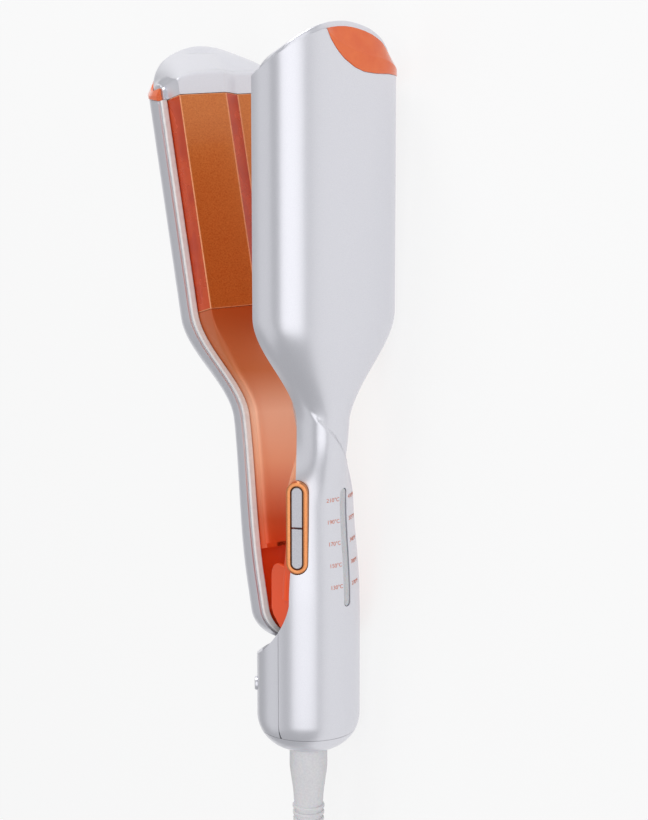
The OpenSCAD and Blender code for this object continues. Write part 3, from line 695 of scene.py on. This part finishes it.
def end_cap():
    heights = [0.1, 0.6, 1.4, 2.4, 3.6, 5, 6.5, SEAM_Z - SEAT]
    outer = [(grip_r(z), z) for z in heights]
    bore = COLLAR_R + SWIVEL_GAP
    inner = [(grip_r(z) - WALL, z) for z in reversed(heights) if z > 2] + [(bore, 2.2)]
    profile = [(bore, heights[0])] + outer + inner + [(bore, heights[0])]
    return finish_mesh("cord_end_cap", spun(profile), TOOL, "handle", "casing", SILVER, ["end_cap"], 0.25)


TAIL_LEVELS = ([LEVER_TIP_Z + TAIL_ROUND * (1 - math.cos(a)) for a in span(0, math.pi / 2, 16)]
               + span(LEVER_TIP_Z + TAIL_ROUND, TRAY_Z, 8)[1:])


def lever_shell():
    levels = (TAIL_LEVELS + span(TRAY_Z, NECK_Z, 22)[1:] + span(NECK_Z, HEAD_Z, 22)[1:]
              + span(HEAD_Z, END_Z, 24)[1:])
    bm = loft(casing_rings(levels, False), halves=True)
    return finish_mesh("lever_casing", bm, LEVER, "lever", "casing", SILVER, ["lever_shell"], CASING_EDGE)


def trim(main):
    """The bright bead along both rims of a casing."""
    start = [KEYS_Z + BEZEL_LEN / 2 + BEAD_PAST_KEYS] if main else TAIL_LEVELS
    levels = start + span(start[-1], NECK_Z, 12)[1:] + span(NECK_Z, HEAD_Z, 20)[1:] + [PLATE_Z1]
    both = bmesh.new()
    for side in (-1, 1):
        rings = []
        for z in levels:
            x, y = casing_point(main, z, 1, WALL)
            low, high, left, right = y + SEAT, y + SEAT + TRIM_T, max(0.05, x - TRIM_W), x + WALL / 2
            ring = [(left, low), (right, low), (right, high - 0.4), (right - 0.5, high), (left + 0.4, high),
                    (left, high - 0.3)]
            rings.append([Vector((side * px, py, z)) for px, py in ring])
        join(both, loft(rings))
    name, node = ("fixed_rim_bead", "main_trim") if main else ("lever_rim_bead", "lever_trim")
    return finish_mesh(name, both, *ARM[main], "trim", WHITE, [node], bevel=0.2, angle=30)


# ---- the faces between the arms ----
def face_side(main, z, inset, up, skirt=False):
    """Half of a face's outline, from the rim on its +x side to the slope's upper end."""
    w, f = face_half_w(main, z), wave_share(z)
    level = mix(LINER_LEVEL, CLOSE_GAP / 2, f) - up * WAVE_H * f
    k = w / HEAD_FACE_W
    rim = casing_point(main, z, 1, WALL).y + SEAT
    flare = mix(FLARE, SKIRT, ease((z - SKIRT_Z) / SKIRT_RUN)) if skirt else FLARE
    out = flare * grip_share(z) if main else 0
    widest = mix(rim, -level, 0.45 if out > 0 else 0.5)
    return [(w - inset, rim), (w - inset, rim + TRIM_T + 0.3), (w + out - inset, widest),
            (w + 0.6 * out - inset - (HEAD_FACE_W - WAVE_W) * k, -level - inset),
            (RAMP_W * k + up * 0.3 * inset, -level - inset)]


def face(main, z, inset, skirt=False):
    return (face_side(main, z, inset, 1, skirt)
            + [(-x, y) for x, y in reversed(face_side(main, z, inset, -1, skirt))])


def softened(points, radius, steps=5):
    """The line with its inner corners rounded."""
    soft = [Vector(points[0])]
    for a, p, b in zip(points, points[1:], points[2:]):
        a, p, b = Vector(a), Vector(p), Vector(b)
        start = p + (a - p).normalized() * min(radius, 0.48 * (a - p).length)
        end = p + (b - p).normalized() * min(radius, 0.48 * (b - p).length)
        soft += [start.lerp(p, i / steps).lerp(p.lerp(end, i / steps), i / steps) for i in range(steps + 1)]
    return soft + [Vector(points[-1])]


def liner(main):
    low, high = (SPLIT_Z + 1 if main else TRAY_Z), PLATE_Z0 - SEAT
    levels = span(low, 108, 12) + span(108, NECK_Z, 8)[1:] + span(NECK_Z, high, 24)[1:]
    rings = []
    for z in levels:
        radius = mix(NECK_ROUND, HEAD_ROUND, wave_share(z))
        outer, inner = (softened(face(main, z, inset, True), radius) for inset in (0, LINER_WALL))
        rings.append([Vector((*p, z)) for p in outer + inner[::-1]])
    name, node = ("fixed_neck_liner", "main_liner") if main else ("lever_neck_liner", "lever_liner")
    return finish_mesh(name, loft(rings, halves=True), *ARM[main], "copper_plastic", COPPER, [node])


def tail_floor():
    """The floor of the lever's tail, with the wall that steps up from it to the neck's liner."""
    rings = []
    for z in TAIL_LEVELS:
        a, b = (size - WALL - SEAT for size in lever_size(z))
        if b < TRAY_Y + LINER_WALL - RIM_Y + 0.3:
            continue
        ring = []
        for y in (TRAY_Y, TRAY_Y + LINER_WALL):
            x = a * (1 - ((y - RIM_Y) / b) ** SQUARENESS) ** (1 / SQUARENESS)
            ring += [(-x, -y), (x, -y)] if y == TRAY_Y else [(x, -y), (-x, -y)]
        rings.append([Vector((x, y, z)) for x, y in ring])
    low_w = rings[-1][2].x
    outline = face(False, TRAY_Z, 0) + [(-low_w, -TRAY_Y - LINER_WALL), (low_w, -TRAY_Y - LINER_WALL)]
    bm = loft(rings)
    join(bm, prism(outline, TRAY_Z, TRAY_Z + LINER_WALL))
    return finish_mesh("lever_tail_floor", bm, LEVER, "lever", "copper_plastic", COPPER, ["lever_liner"])


def cheeks():
    """The two leaves of the fixed arm's liner that cover the hinge from outside."""
    middle = SCOOP_Z + CHEEK_GAP
    points = [(y, middle - math.sqrt(SCOOP_R ** 2 - (SCOOP_Y - y) ** 2))
              for y in span(CHEEK_BACK_Y, CHEEK_BEND_Y, 8)]
    points += [(CHEEK_TOP_Y - 1.5, CHEEK_FOOT_Z - 2.4), (CHEEK_TOP_Y, CHEEK_FOOT_Z)]
    points += [(CHEEK_TOP_Y - CHEEK_ROUND * (1 - math.cos(a)), CHEEK_Z1 - CHEEK_ROUND * (1 - math.sin(a)))
               for a in span(0, math.pi / 2, 8)]
    points.append((CHEEK_BACK_Y, CHEEK_Z1))
    both = bmesh.new()
    for side in (-1, 1):
        leaf = prism(points, 0, CHEEK_T)
        turn = Matrix(((0, 0, side, side * CHEEK_X), (1, 0, 0, 0), (0, 1, 0, 0), (0, 0, 0, 1)))
        bmesh.ops.transform(leaf, matrix=turn, verts=leaf.verts)
        join(both, leaf)
    return finish_mesh("hinge_cheeks", both, TOOL, "handle", "copper_plastic", COPPER, ["main_liner"],
                       bevel=0.5, segments=3)


# A plate's face sparkles where its normal's y is at least this, and below it has the flanks' darker red,
# which is painted shade.
FLAT_FACING, PLATE_EDGE = 0.93, 0.35


def plate(main):
    """An S-shaped heated plate: its flats in the sparkle coating, its flanks a darker red as painted shade,
    and its edges and ends lighter as a painted highlight.
    """
    outline = face(True, END_Z, 0) + face(True, END_Z, PLATE_T)[::-1]
    bm = prism(outline, PLATE_Z0, PLATE_Z1)
    name, node = ("fixed_wave_plate", "main_plate") if main else ("lever_wave_plate", "lever_plate")
    piece = finish_mesh(name, bm, *ARM[main], "plate", [SPARKLE, SHADED_FLANK, HIGHLIGHT_EDGE], [node])
    turned = ARM[main][0].to_3x3().normalized().inverted()
    for polygon in piece.data.polygons:
        normal = turned @ polygon.normal
        # The ends get the painted highlight, and faces turned from the flats get the painted shade.
        if abs(normal.z) > 0.5:
            polygon.material_index = 2
        elif normal.y < FLAT_FACING:
            polygon.material_index = 1
    # The rounded edges get the painted highlight too.
    round_edges(piece, PLATE_EDGE, 20, 3).material = 2
    return piece


# ---- the heads' ends ----
# END_FALL is the power by which a cover's top stays level and then falls at its sides.
CORNER_RISE, CAP_LIFT, CAP_BULGE, CAP_REACH, END_FALL, FRONT_ROUND = 5, 1.9, 1.2, 0.97, 6, 2.5
DIMPLE_DEPTH, DIMPLE_X, DIMPLE_Y, DIMPLE_BACK = 2.2, 9, 4, 13


def front_height(x):
    return END_Z + CORNER_RISE * (1 - min(1, abs(x) / (HEAD_W - WALL)) ** END_FALL)


def front_y(x):
    wave = -CLOSE_GAP / 2 + WAVE_H * max(-1, min(1, x / RAMP_W))
    if abs(x) >= HEAD_FACE_W:
        return -RIM_Y + TRIM_T
    return mix(wave, -RIM_Y + TRIM_T, max(0, (abs(x) - WAVE_W) / (HEAD_FACE_W - WAVE_W)))


def head_cap(main):
    """The slanted cover of a head's end, drawn in strips across its width."""
    rings = []
    for t in span(-CAP_REACH, CAP_REACH, 72):
        x, back = arm_point(END_Z, t, WALL + SEAT)
        top_back = end_height(t) + CAP_LIFT * (1 - abs(t) ** END_FALL)
        front, top_front = front_y(x), front_height(x)
        corner = min(FRONT_ROUND, (front - back) / 3)
        bend = [(front - corner * (1 - math.cos(a)), top_front - corner * (1 - math.sin(a)))
                for a in span(0, math.pi / 2, 5)]
        y0, z0 = bend[-1]
        slant = [(mix(y0, back + 0.6, s), mix(z0, top_back, s) + CAP_BULGE * math.sin(math.pi * s))
                 for s in span(0, 1, 16)[1:]] + [(back + 0.2, top_back - 0.2), (back, top_back - 0.6)]
        low = PLATE_Z1 + SEAT
        ring = [(front, low)] + bend + slant + [(back, low)]
        rings.append([Vector((x, y, z - dimple(x, y))) if z > low else Vector((x, y, z)) for y, z in ring])
    name, node = ("fixed_end_cover", "main_end_cap") if main else ("lever_end_cover", "lever_end_cap")
    return finish_mesh(name, loft(rings), *ARM[main], "casing", SILVER, [node])


def dimple(x, y):
    """Depth of the finger hollow near the back of the slanted cover."""
    far = math.hypot(x / DIMPLE_X, (y + RIM_Y + DIMPLE_BACK) / DIMPLE_Y)
    return DIMPLE_DEPTH * (1 - ease(far))


# An insert stands proud of the casing up to its crease, at a share of its height, and leans in above it,
# by the whole lean where it is as high as CREASE_FULL. Edges past CREASE_ANGLE degrees stay sharp.
CREASE_SHARE, CREASE_LEAN, CREASE_FULL, CREASE_ANGLE, INSERT_PROUD = 0.42, 1.8, 6, 12, 0.3


def tip_insert(main):
    """The glossy insert that takes the casing's place at one corner of its end."""
    rings = []
    for t in span(INSERT_FROM, 1, 60):
        low, high = min(insert_line(t), end_height(t) - 0.1), end_height(t)
        out, back = arm_point(END_Z, t, 0), arm_point(END_Z, t, WALL)
        proud = arm_point(END_Z, t, -INSERT_PROUD)
        lean = min(1, (high - low) / CREASE_FULL)
        shoulder = arm_point(END_Z, t, CREASE_LEAN * lean)
        waist = mix(low, high, CREASE_SHARE)
        rings.append([Vector((*out, low)), Vector((*proud, low + INSERT_PROUD)), Vector((*proud, waist)),
                      Vector((*shoulder, high)), Vector((*back, high)), Vector((*back, low))])
    name, node = (("fixed_tip_insert", "main_tip_insert") if main
                  else ("lever_corner_insert", "lever_tip_insert"))
    return finish_mesh(name, loft(rings), *ARM[main], "insert", ORANGE, [node], angle=CREASE_ANGLE)


# ---- controls ----
BEZEL_OUT, BEZEL_IN, KEY_W, KEY_GAP = 19.6, 16.2, 4.2, 0.25
# The keys' inner ends stop short of the bezel's, so that a pressed key stays off the fixed liner.
KEY_IN, KEY_OUT = BEZEL_IN + 0.9, BEZEL_OUT - 0.3


def bezel():
    outer = stadium(BEZEL_LEN, BEZEL_W, 20)
    inner = stadium(BEZEL_LEN - BEZEL_W + KEY_W + 2 * KEY_GAP, KEY_W + 2 * KEY_GAP, 20)
    crown = [(0, BEZEL_IN), (0, BEZEL_OUT - 0.7), (0.12, BEZEL_OUT - 0.2), (0.5, BEZEL_OUT),
             (0.88, BEZEL_OUT - 0.2), (1, BEZEL_OUT - 0.7), (1, BEZEL_IN)]
    rings = []
    for share, r in crown + [crown[0]]:
        pairs = zip(outer, inner)
        rings.append([Vector((mix(a[0], b[0], share), mix(a[1], b[1], share), r)) for a, b in pairs])
    bm = loft_tube(rings)
    bmesh.ops.transform(bm, matrix=at_front(-KEYS_ANGLE, KEYS_Z), verts=bm.verts)
    return finish_mesh("key_frame", bm, TOOL, "handle", "copper_trim", PLATED, ["key_bezel"])


def loft_tube(rings):
    """A closed band: the last ring lies on the first, so no end is filled."""
    bm = skin(rings)[0]
    merge(bm)
    return bm


def key(up):
    length = BEZEL_LEN - BEZEL_W + KEY_W
    r = KEY_W / 2
    outline = [(r, KEY_GAP)] + [(r * math.cos(a), length / 2 - r + r * math.sin(a))
                                for a in span(0, math.pi, 16)] + [(-r, KEY_GAP)]
    bm = prism([(up * x, up * y) for x, y in outline], KEY_IN, KEY_OUT)
    bmesh.ops.transform(bm, matrix=at_front(-KEYS_ANGLE, KEYS_Z), verts=bm.verts)
    name, node = ("upper_key", "plus_key") if up > 0 else ("lower_key", "minus_key")
    return finish_mesh(name, bm, TOOL, node, "key", KEY, [node], bevel=0.4, segments=3)


def surface_share(angle, z):
    """Share round the fixed arm's back at an angle from the grip's front."""
    return angle / math.acos(GRIP_RIM_Y / grip_r(z))


def level_light():
    """The frosted bar, whose face follows the grip's surface in its slot."""
    rings, r = [], LIGHT_W / 2
    tip = LIGHT_LEN / 2 - 0.02
    for along in span(-tip, tip, 64):
        past = max(0, abs(along) - (LIGHT_LEN / 2 - r))
        half, z = math.sqrt(r * r - past * past), LIGHT_Z + along
        low = GRIP_TOP_R - WALL - LIGHT_BEHIND
        share = surface_share(math.radians(LIGHT_ANGLE), z)
        high = casing_point(True, max(z, SPLIT_Z + 0.1), share, 0).length - LIGHT_SUNK
        edge = min(LIGHT_EDGE, half / 2)
        section = [(-half, low), (-half, high - edge), (-half + edge, high), (half - edge, high),
                   (half, high - edge), (half, low)]
        rings.append([Vector((x, along, y)) for x, y in section])
    bm = loft(rings)
    bmesh.ops.transform(bm, matrix=at_front(LIGHT_ANGLE, LIGHT_Z), verts=bm.verts)
    return finish_mesh("level_light_bar", bm, TOOL, "handle", "light", LIGHT, ["level_light"])


def power_button():
    r = POWER_R
    crown = HANDLE_R + POWER_PROUD
    profile = [(0, POWER_FOOT), (r, POWER_FOOT), (r, crown - 0.5), (r - 0.15, crown - 0.15), (r - 0.5, crown),
               (r - 1, crown - 0.05), (0, crown - 0.25)]
    bm = spun(profile, 48)
    bmesh.ops.transform(bm, matrix=at_front(-POWER_ANGLE, POWER_Z), verts=bm.verts)
    return finish_mesh("power_push_button", bm, TOOL, "power_button", "key", SILVER, ["power_button"])


PRINT_SIZE, PRINT_LIFT, PRINT_T, PRINT_STEP = 2.2, 0.04, 0.02, 0.8
LABELS = [(210, 410), (190, 375), (170, 340), (150, 300), (130, 270)]
LABEL_TOP, LABEL_PITCH, LEFT_GAP, RIGHT_GAP = 102.6, 8.45, -2.3, 3


def label(text, index, gap, align):
    """One printed temperature, wrapped onto the grip beside the light."""
    words = bpy.data.curves.new("label", "FONT")
    words.body, words.size, words.align_x, words.align_y = text, PRINT_SIZE, align, "CENTER"
    words.extrude = PRINT_T
    stand_in = new_object("label", words)
    graph = bpy.context.evaluated_depsgraph_get()
    mesh = bpy.data.meshes.new_from_object(stand_in.evaluated_get(graph))
    bpy.data.objects.remove(stand_in)
    z0 = LABEL_TOP - index * LABEL_PITCH
    bm = bmesh.new()
    bm.from_mesh(mesh)
    bpy.data.meshes.remove(mesh)
    bmesh.ops.subdivide_edges(bm, edges=[e for e in bm.edges if e.calc_length() > PRINT_STEP], cuts=1)
    for vert in bm.verts:
        z = z0 + vert.co.y
        angle = math.radians(LIGHT_ANGLE) + (gap + vert.co.x) / grip_r(z)
        vert.co = (*casing_point(True, z, surface_share(angle, z), -PRINT_LIFT - vert.co.z), z)
    return bm


def labels():
    bm = bmesh.new()
    for index, (celsius, fahrenheit) in enumerate(LABELS):
        join(bm, label(f"{celsius}°C", index, LEFT_GAP, "RIGHT"))
        join(bm, label(f"{fahrenheit}°F", index, RIGHT_GAP, "LEFT"))
    return finish_mesh("temperature_scale", bm, TOOL, "handle", "copper_plastic", INK)


# ---- the cord ----
def strain_relief():
    profile = [(0, -12), (CORD_R + 0.2, -12.2), (CORD_R + 0.2, -RELIEF_LEN), (CORD_R + 1.3, -RELIEF_LEN)]
    for i in reversed(range(RIBS)):
        z, share = FIRST_RIB_Z - i * RIB_PITCH, i / RIBS
        neck, rib = mix(COLLAR_R - 1.9, CORD_R + 1.3, share), mix(COLLAR_R - 1.1, CORD_R + 1.9, share)
        profile += [(neck, z - 1.35), (rib - 0.15, z - 1.3), (rib, z - 1.05), (rib, z - 0.3),
                    (rib - 0.15, z - 0.05), (neck, z)]
    profile += [(COLLAR_R - 1.6, -22), (COLLAR_R - 1.45, -19.5), (COLLAR_R - 1.2, -17), (COLLAR_R - 0.2, -10),
                (COLLAR_R, -8), (COLLAR_R, FLANGE_Z0), (FLANGE_R, FLANGE_Z0), (FLANGE_R, FLANGE_Z1),
                (0, FLANGE_Z1)]
    return finish_mesh("ribbed_cord_entry", spun(profile, 64), TOOL, "cord_swivel", "cord_white", PVC,
                       ["strain_relief"])


COIL_IN_R, COIL_STEPS, COIL_TURNS = 29.5, 24, 7.5
# The cord changes rows over the last CROSSING steps of a turn. It joins the coil up to WAY_IN outside
# its turn and leaves it up to WAY_OUT outside, each over about WAY_STEPS steps.
CROSSING, WAY_STEPS, WAY_IN, WAY_OUT = 5, 4, 3, 5.5
CORD_START_Z = -14
COIL_FROM_EXIT = (-34, -104)
LEAD = [(0, -12, -0.9), (0.2, -26, -3.6), (1, -40, -6.4), (2.6, -54, -7.9), (4.8, -68, -7.9),
        (7.6, -84.6, -6.7)]
TAIL = [(0, 0, 0), (0, 8, 0), (-0.5, 16, 0), (-1.8, 25, 0)]
# Each turn's row, 1 outside and 0 inside, and its layer above the table.
TURNS = [(1, 1), (1, 2), (1, 3), (0, 3), (0, 2), (0, 1), (0, 0), (1, 0), (1, 0)]


def cord_path():
    """The cord's route in row millimetres: the lead, the coil's turns and the tail to the plug."""
    start = (TOOL @ Vector((0, 0, CORD_START_Z))) / MM
    leave = (TOOL @ Vector((0, 0, -RELIEF_LEN))) / MM
    points = [start, leave] + [leave + Vector(p) for p in LEAD]
    coil = Vector((leave.x + COIL_FROM_EXIT[0], leave.y + COIL_FROM_EXIT[1], 0))
    last = int(COIL_TURNS * COIL_STEPS) - 1
    for i in range(1, last + 1):
        turn, part = divmod(i, COIL_STEPS)
        step = ease((part - COIL_STEPS + CROSSING) / CROSSING)
        row, layer = (mix(TURNS[turn][k], TURNS[turn + 1][k], step) for k in (0, 1))
        way_in, way_out = 1 - ease(i / WAY_STEPS), ease((i - last + WAY_STEPS) / (WAY_STEPS + 1))
        r = COIL_IN_R + CORD_R * (1 + 2 * row) + WAY_IN * way_in + WAY_OUT * way_out
        angle = -math.tau * i / COIL_STEPS
        points.append(coil + Vector((r * math.cos(angle), r * math.sin(angle), CORD_R * (1 + 2 * layer))))
    tail = coil + Vector((-COIL_IN_R - 5 * CORD_R - 0.3, 0, CORD_R))
    return points + [tail + Vector(p) for p in TAIL]


def cord():
    route = cord_path()
    curve = bpy.data.curves.new("mains_cord", "CURVE")
    curve.dimensions = "3D"
    spline = curve.splines.new("NURBS")
    spline.points.add(len(route) - 1)
    for point, place in zip(spline.points, route):
        point.co = (*(place * MM), 1)
    spline.use_endpoint_u, spline.order_u = True, 4
    curve.bevel_depth, curve.bevel_resolution, curve.resolution_u = CORD_R * MM, 6, 6
    curve.use_fill_caps = True
    curve.materials.append(PVC)
    piece = new_object("mains_cord", curve)
    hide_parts("cord", "cord_coil", "cord_tail")
    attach(piece, "handle")
    return piece, route


# ---- camera, floor and lights ----
CAMERA_AZIMUTH, CAMERA_HEIGHT = math.radians(30), math.radians(12)
FOCAL_PX, WIDTH_PX, HEIGHT_PX = 2600, 648, 820
CAMERA_DISTANCE, ORIGIN_PX, AIM_Z = 990.6, (308.5, 745), 140


def camera():
    """Looks at the fixed arm's back, from the left and a little above the tool's middle."""
    back = Vector((-math.sin(CAMERA_AZIMUTH) * math.cos(CAMERA_HEIGHT),
                   -math.cos(CAMERA_AZIMUTH) * math.cos(CAMERA_HEIGHT), math.sin(CAMERA_HEIGHT)))
    right = Vector((math.cos(CAMERA_AZIMUTH), -math.sin(CAMERA_AZIMUTH), 0))
    up = right.cross(-back)
    place = Vector((0, 0, AIM_Z)) + back * CAMERA_DISTANCE
    seen = -place
    depth = seen.dot(-back)
    across = (ORIGIN_PX[0] - WIDTH_PX / 2) * depth / FOCAL_PX
    along = -(ORIGIN_PX[1] - HEIGHT_PX / 2) * depth / FOCAL_PX
    place -= right * (across - seen.dot(right)) + up * (along - seen.dot(up))
    data = bpy.data.cameras.new("camera")
    data.sensor_fit, data.sensor_width = "HORIZONTAL", 36
    data.lens = FOCAL_PX / WIDTH_PX * data.sensor_width
    data.clip_start, data.clip_end = 0.05, 50
    thing = new_object("camera", data)
    turn = Matrix((right, up, back)).transposed().to_4x4()
    thing.matrix_world = Matrix.Translation(TOOL @ place) @ TURN @ turn
    bpy.context.scene.camera = thing
    return TURN.to_3x3() @ right, TURN.to_3x3() @ up, TURN.to_3x3() @ back


RIGHT, UP, BACK = camera()
AIM = TOOL @ Vector((0, 0, AIM_Z))


def softbox(name, offset, size, power, along=None):
    """A soft lamp at an offset (right, up, back) from the tool's middle, in metres, aimed at it."""
    data = bpy.data.lights.new(name, "AREA")
    data.shape, data.size, data.size_y, data.energy = "RECTANGLE", size[0], size[1], power
    lamp = new_object(name, data)
    place = AIM + RIGHT * offset[0] + UP * offset[1] + BACK * offset[2]
    toward = (place - AIM).normalized()
    side = (along or UP).cross(toward).normalized()
    turn = Matrix((side, toward.cross(side), toward)).transposed().to_4x4()
    lamp.matrix_world = Matrix.Translation(place) @ turn


FLOOR_R, FLOOR_GLOW, WORLD_LIGHT = 8, 0.8, 0.46


def stage():
    bm = bmesh.new()
    bmesh.ops.create_circle(bm, cap_ends=True, segments=96, radius=FLOOR_R)
    mesh = bpy.data.meshes.new("floor")
    bm.to_mesh(mesh)
    bm.free()
    floor = new_object("floor", mesh)
    material = bpy.data.materials.new("white_paper")
    material.use_nodes = True
    tree = material.node_tree
    tree.nodes.clear()
    path = add(tree, "ShaderNodeLightPath")
    seen = path.outputs["Is Camera Ray"]
    for ray in ("Is Glossy Ray", "Is Transmission Ray"):
        most = add(tree, "ShaderNodeMath", {"operation": "MAXIMUM"})
        tree.links.new(seen, most.inputs[0])
        tree.links.new(path.outputs[ray], most.inputs[1])
        seen = most.outputs[0]
    glow = add(tree, "ShaderNodeEmission", {"Color": linear("FFFFFF"), "Strength": 1.0})
    paper = add(tree, "ShaderNodeBsdfDiffuse", {"Color": linear("F2F2F2")})
    both = add(tree, "ShaderNodeMixShader")
    share = add(tree, "ShaderNodeMath", {"operation": "MULTIPLY"})
    share.inputs[1].default_value = FLOOR_GLOW
    tree.links.new(seen, share.inputs[0])
    tree.links.new(share.outputs[0], both.inputs[0])
    tree.links.new(paper.outputs[0], both.inputs[1])
    tree.links.new(glow.outputs[0], both.inputs[2])
    add(tree, "ShaderNodeOutputMaterial", Surface=both.outputs[0])
    mesh.materials.append(material)


def world():
    scene = bpy.context.scene
    scene.view_settings.view_transform = "Standard"
    scene.world = bpy.data.worlds.new("studio")
    scene.world.use_nodes = True
    tree = scene.world.node_tree
    tree.nodes.clear()
    soft = add(tree, "ShaderNodeBackground", {"Color": linear("F4F5F7"), "Strength": WORLD_LIGHT})
    add(tree, "ShaderNodeOutputWorld", Surface=soft.outputs[0])


stage()
world()
softbox("front_box", (-0.24, -0.3, 1.4), (1.5, 1.7), 8.2)
softbox("left_box", (-1.3, -0.2, 0), (1.1, 1.7), 2)
softbox("end_box", (-0.5, 1.0, 0.2), (0.7, 0.5), 5, along=RIGHT)


# ---- the CAD solids that stay, in their finishes ----
def paint(material, *nodes):
    for name in nodes:
        mesh = frame["nodes"][name].data
        mesh.materials.clear()
        mesh.materials.append(material)


paint(NYLON, "main_carrier", "lever_carrier", "board_parts", "power_switch", "main_sensor", "lever_sensor")
paint(GREY, "chassis")
paint(COPPER, "lever_knuckle")
paint(STEEL, "hinge_pin", "opening_spring", "plug_pins", "main_heater", "lever_heater")
paint(BRASS, "swivel_terminal")
paint(BOARD, "control_board", "key_board", "light_strip")
paint(PVC, "plug")

main_shell()
rear_shell()
end_cap()
lever_shell()
tail_floor()
cheeks()
for fixed in (True, False):
    trim(fixed)
    liner(fixed)
    plate(fixed)
    head_cap(fixed)
    tip_insert(fixed)
bezel()
key(1)
key(-1)
level_light()
power_button()
labels()
entry = strain_relief()
mains, route = cord()
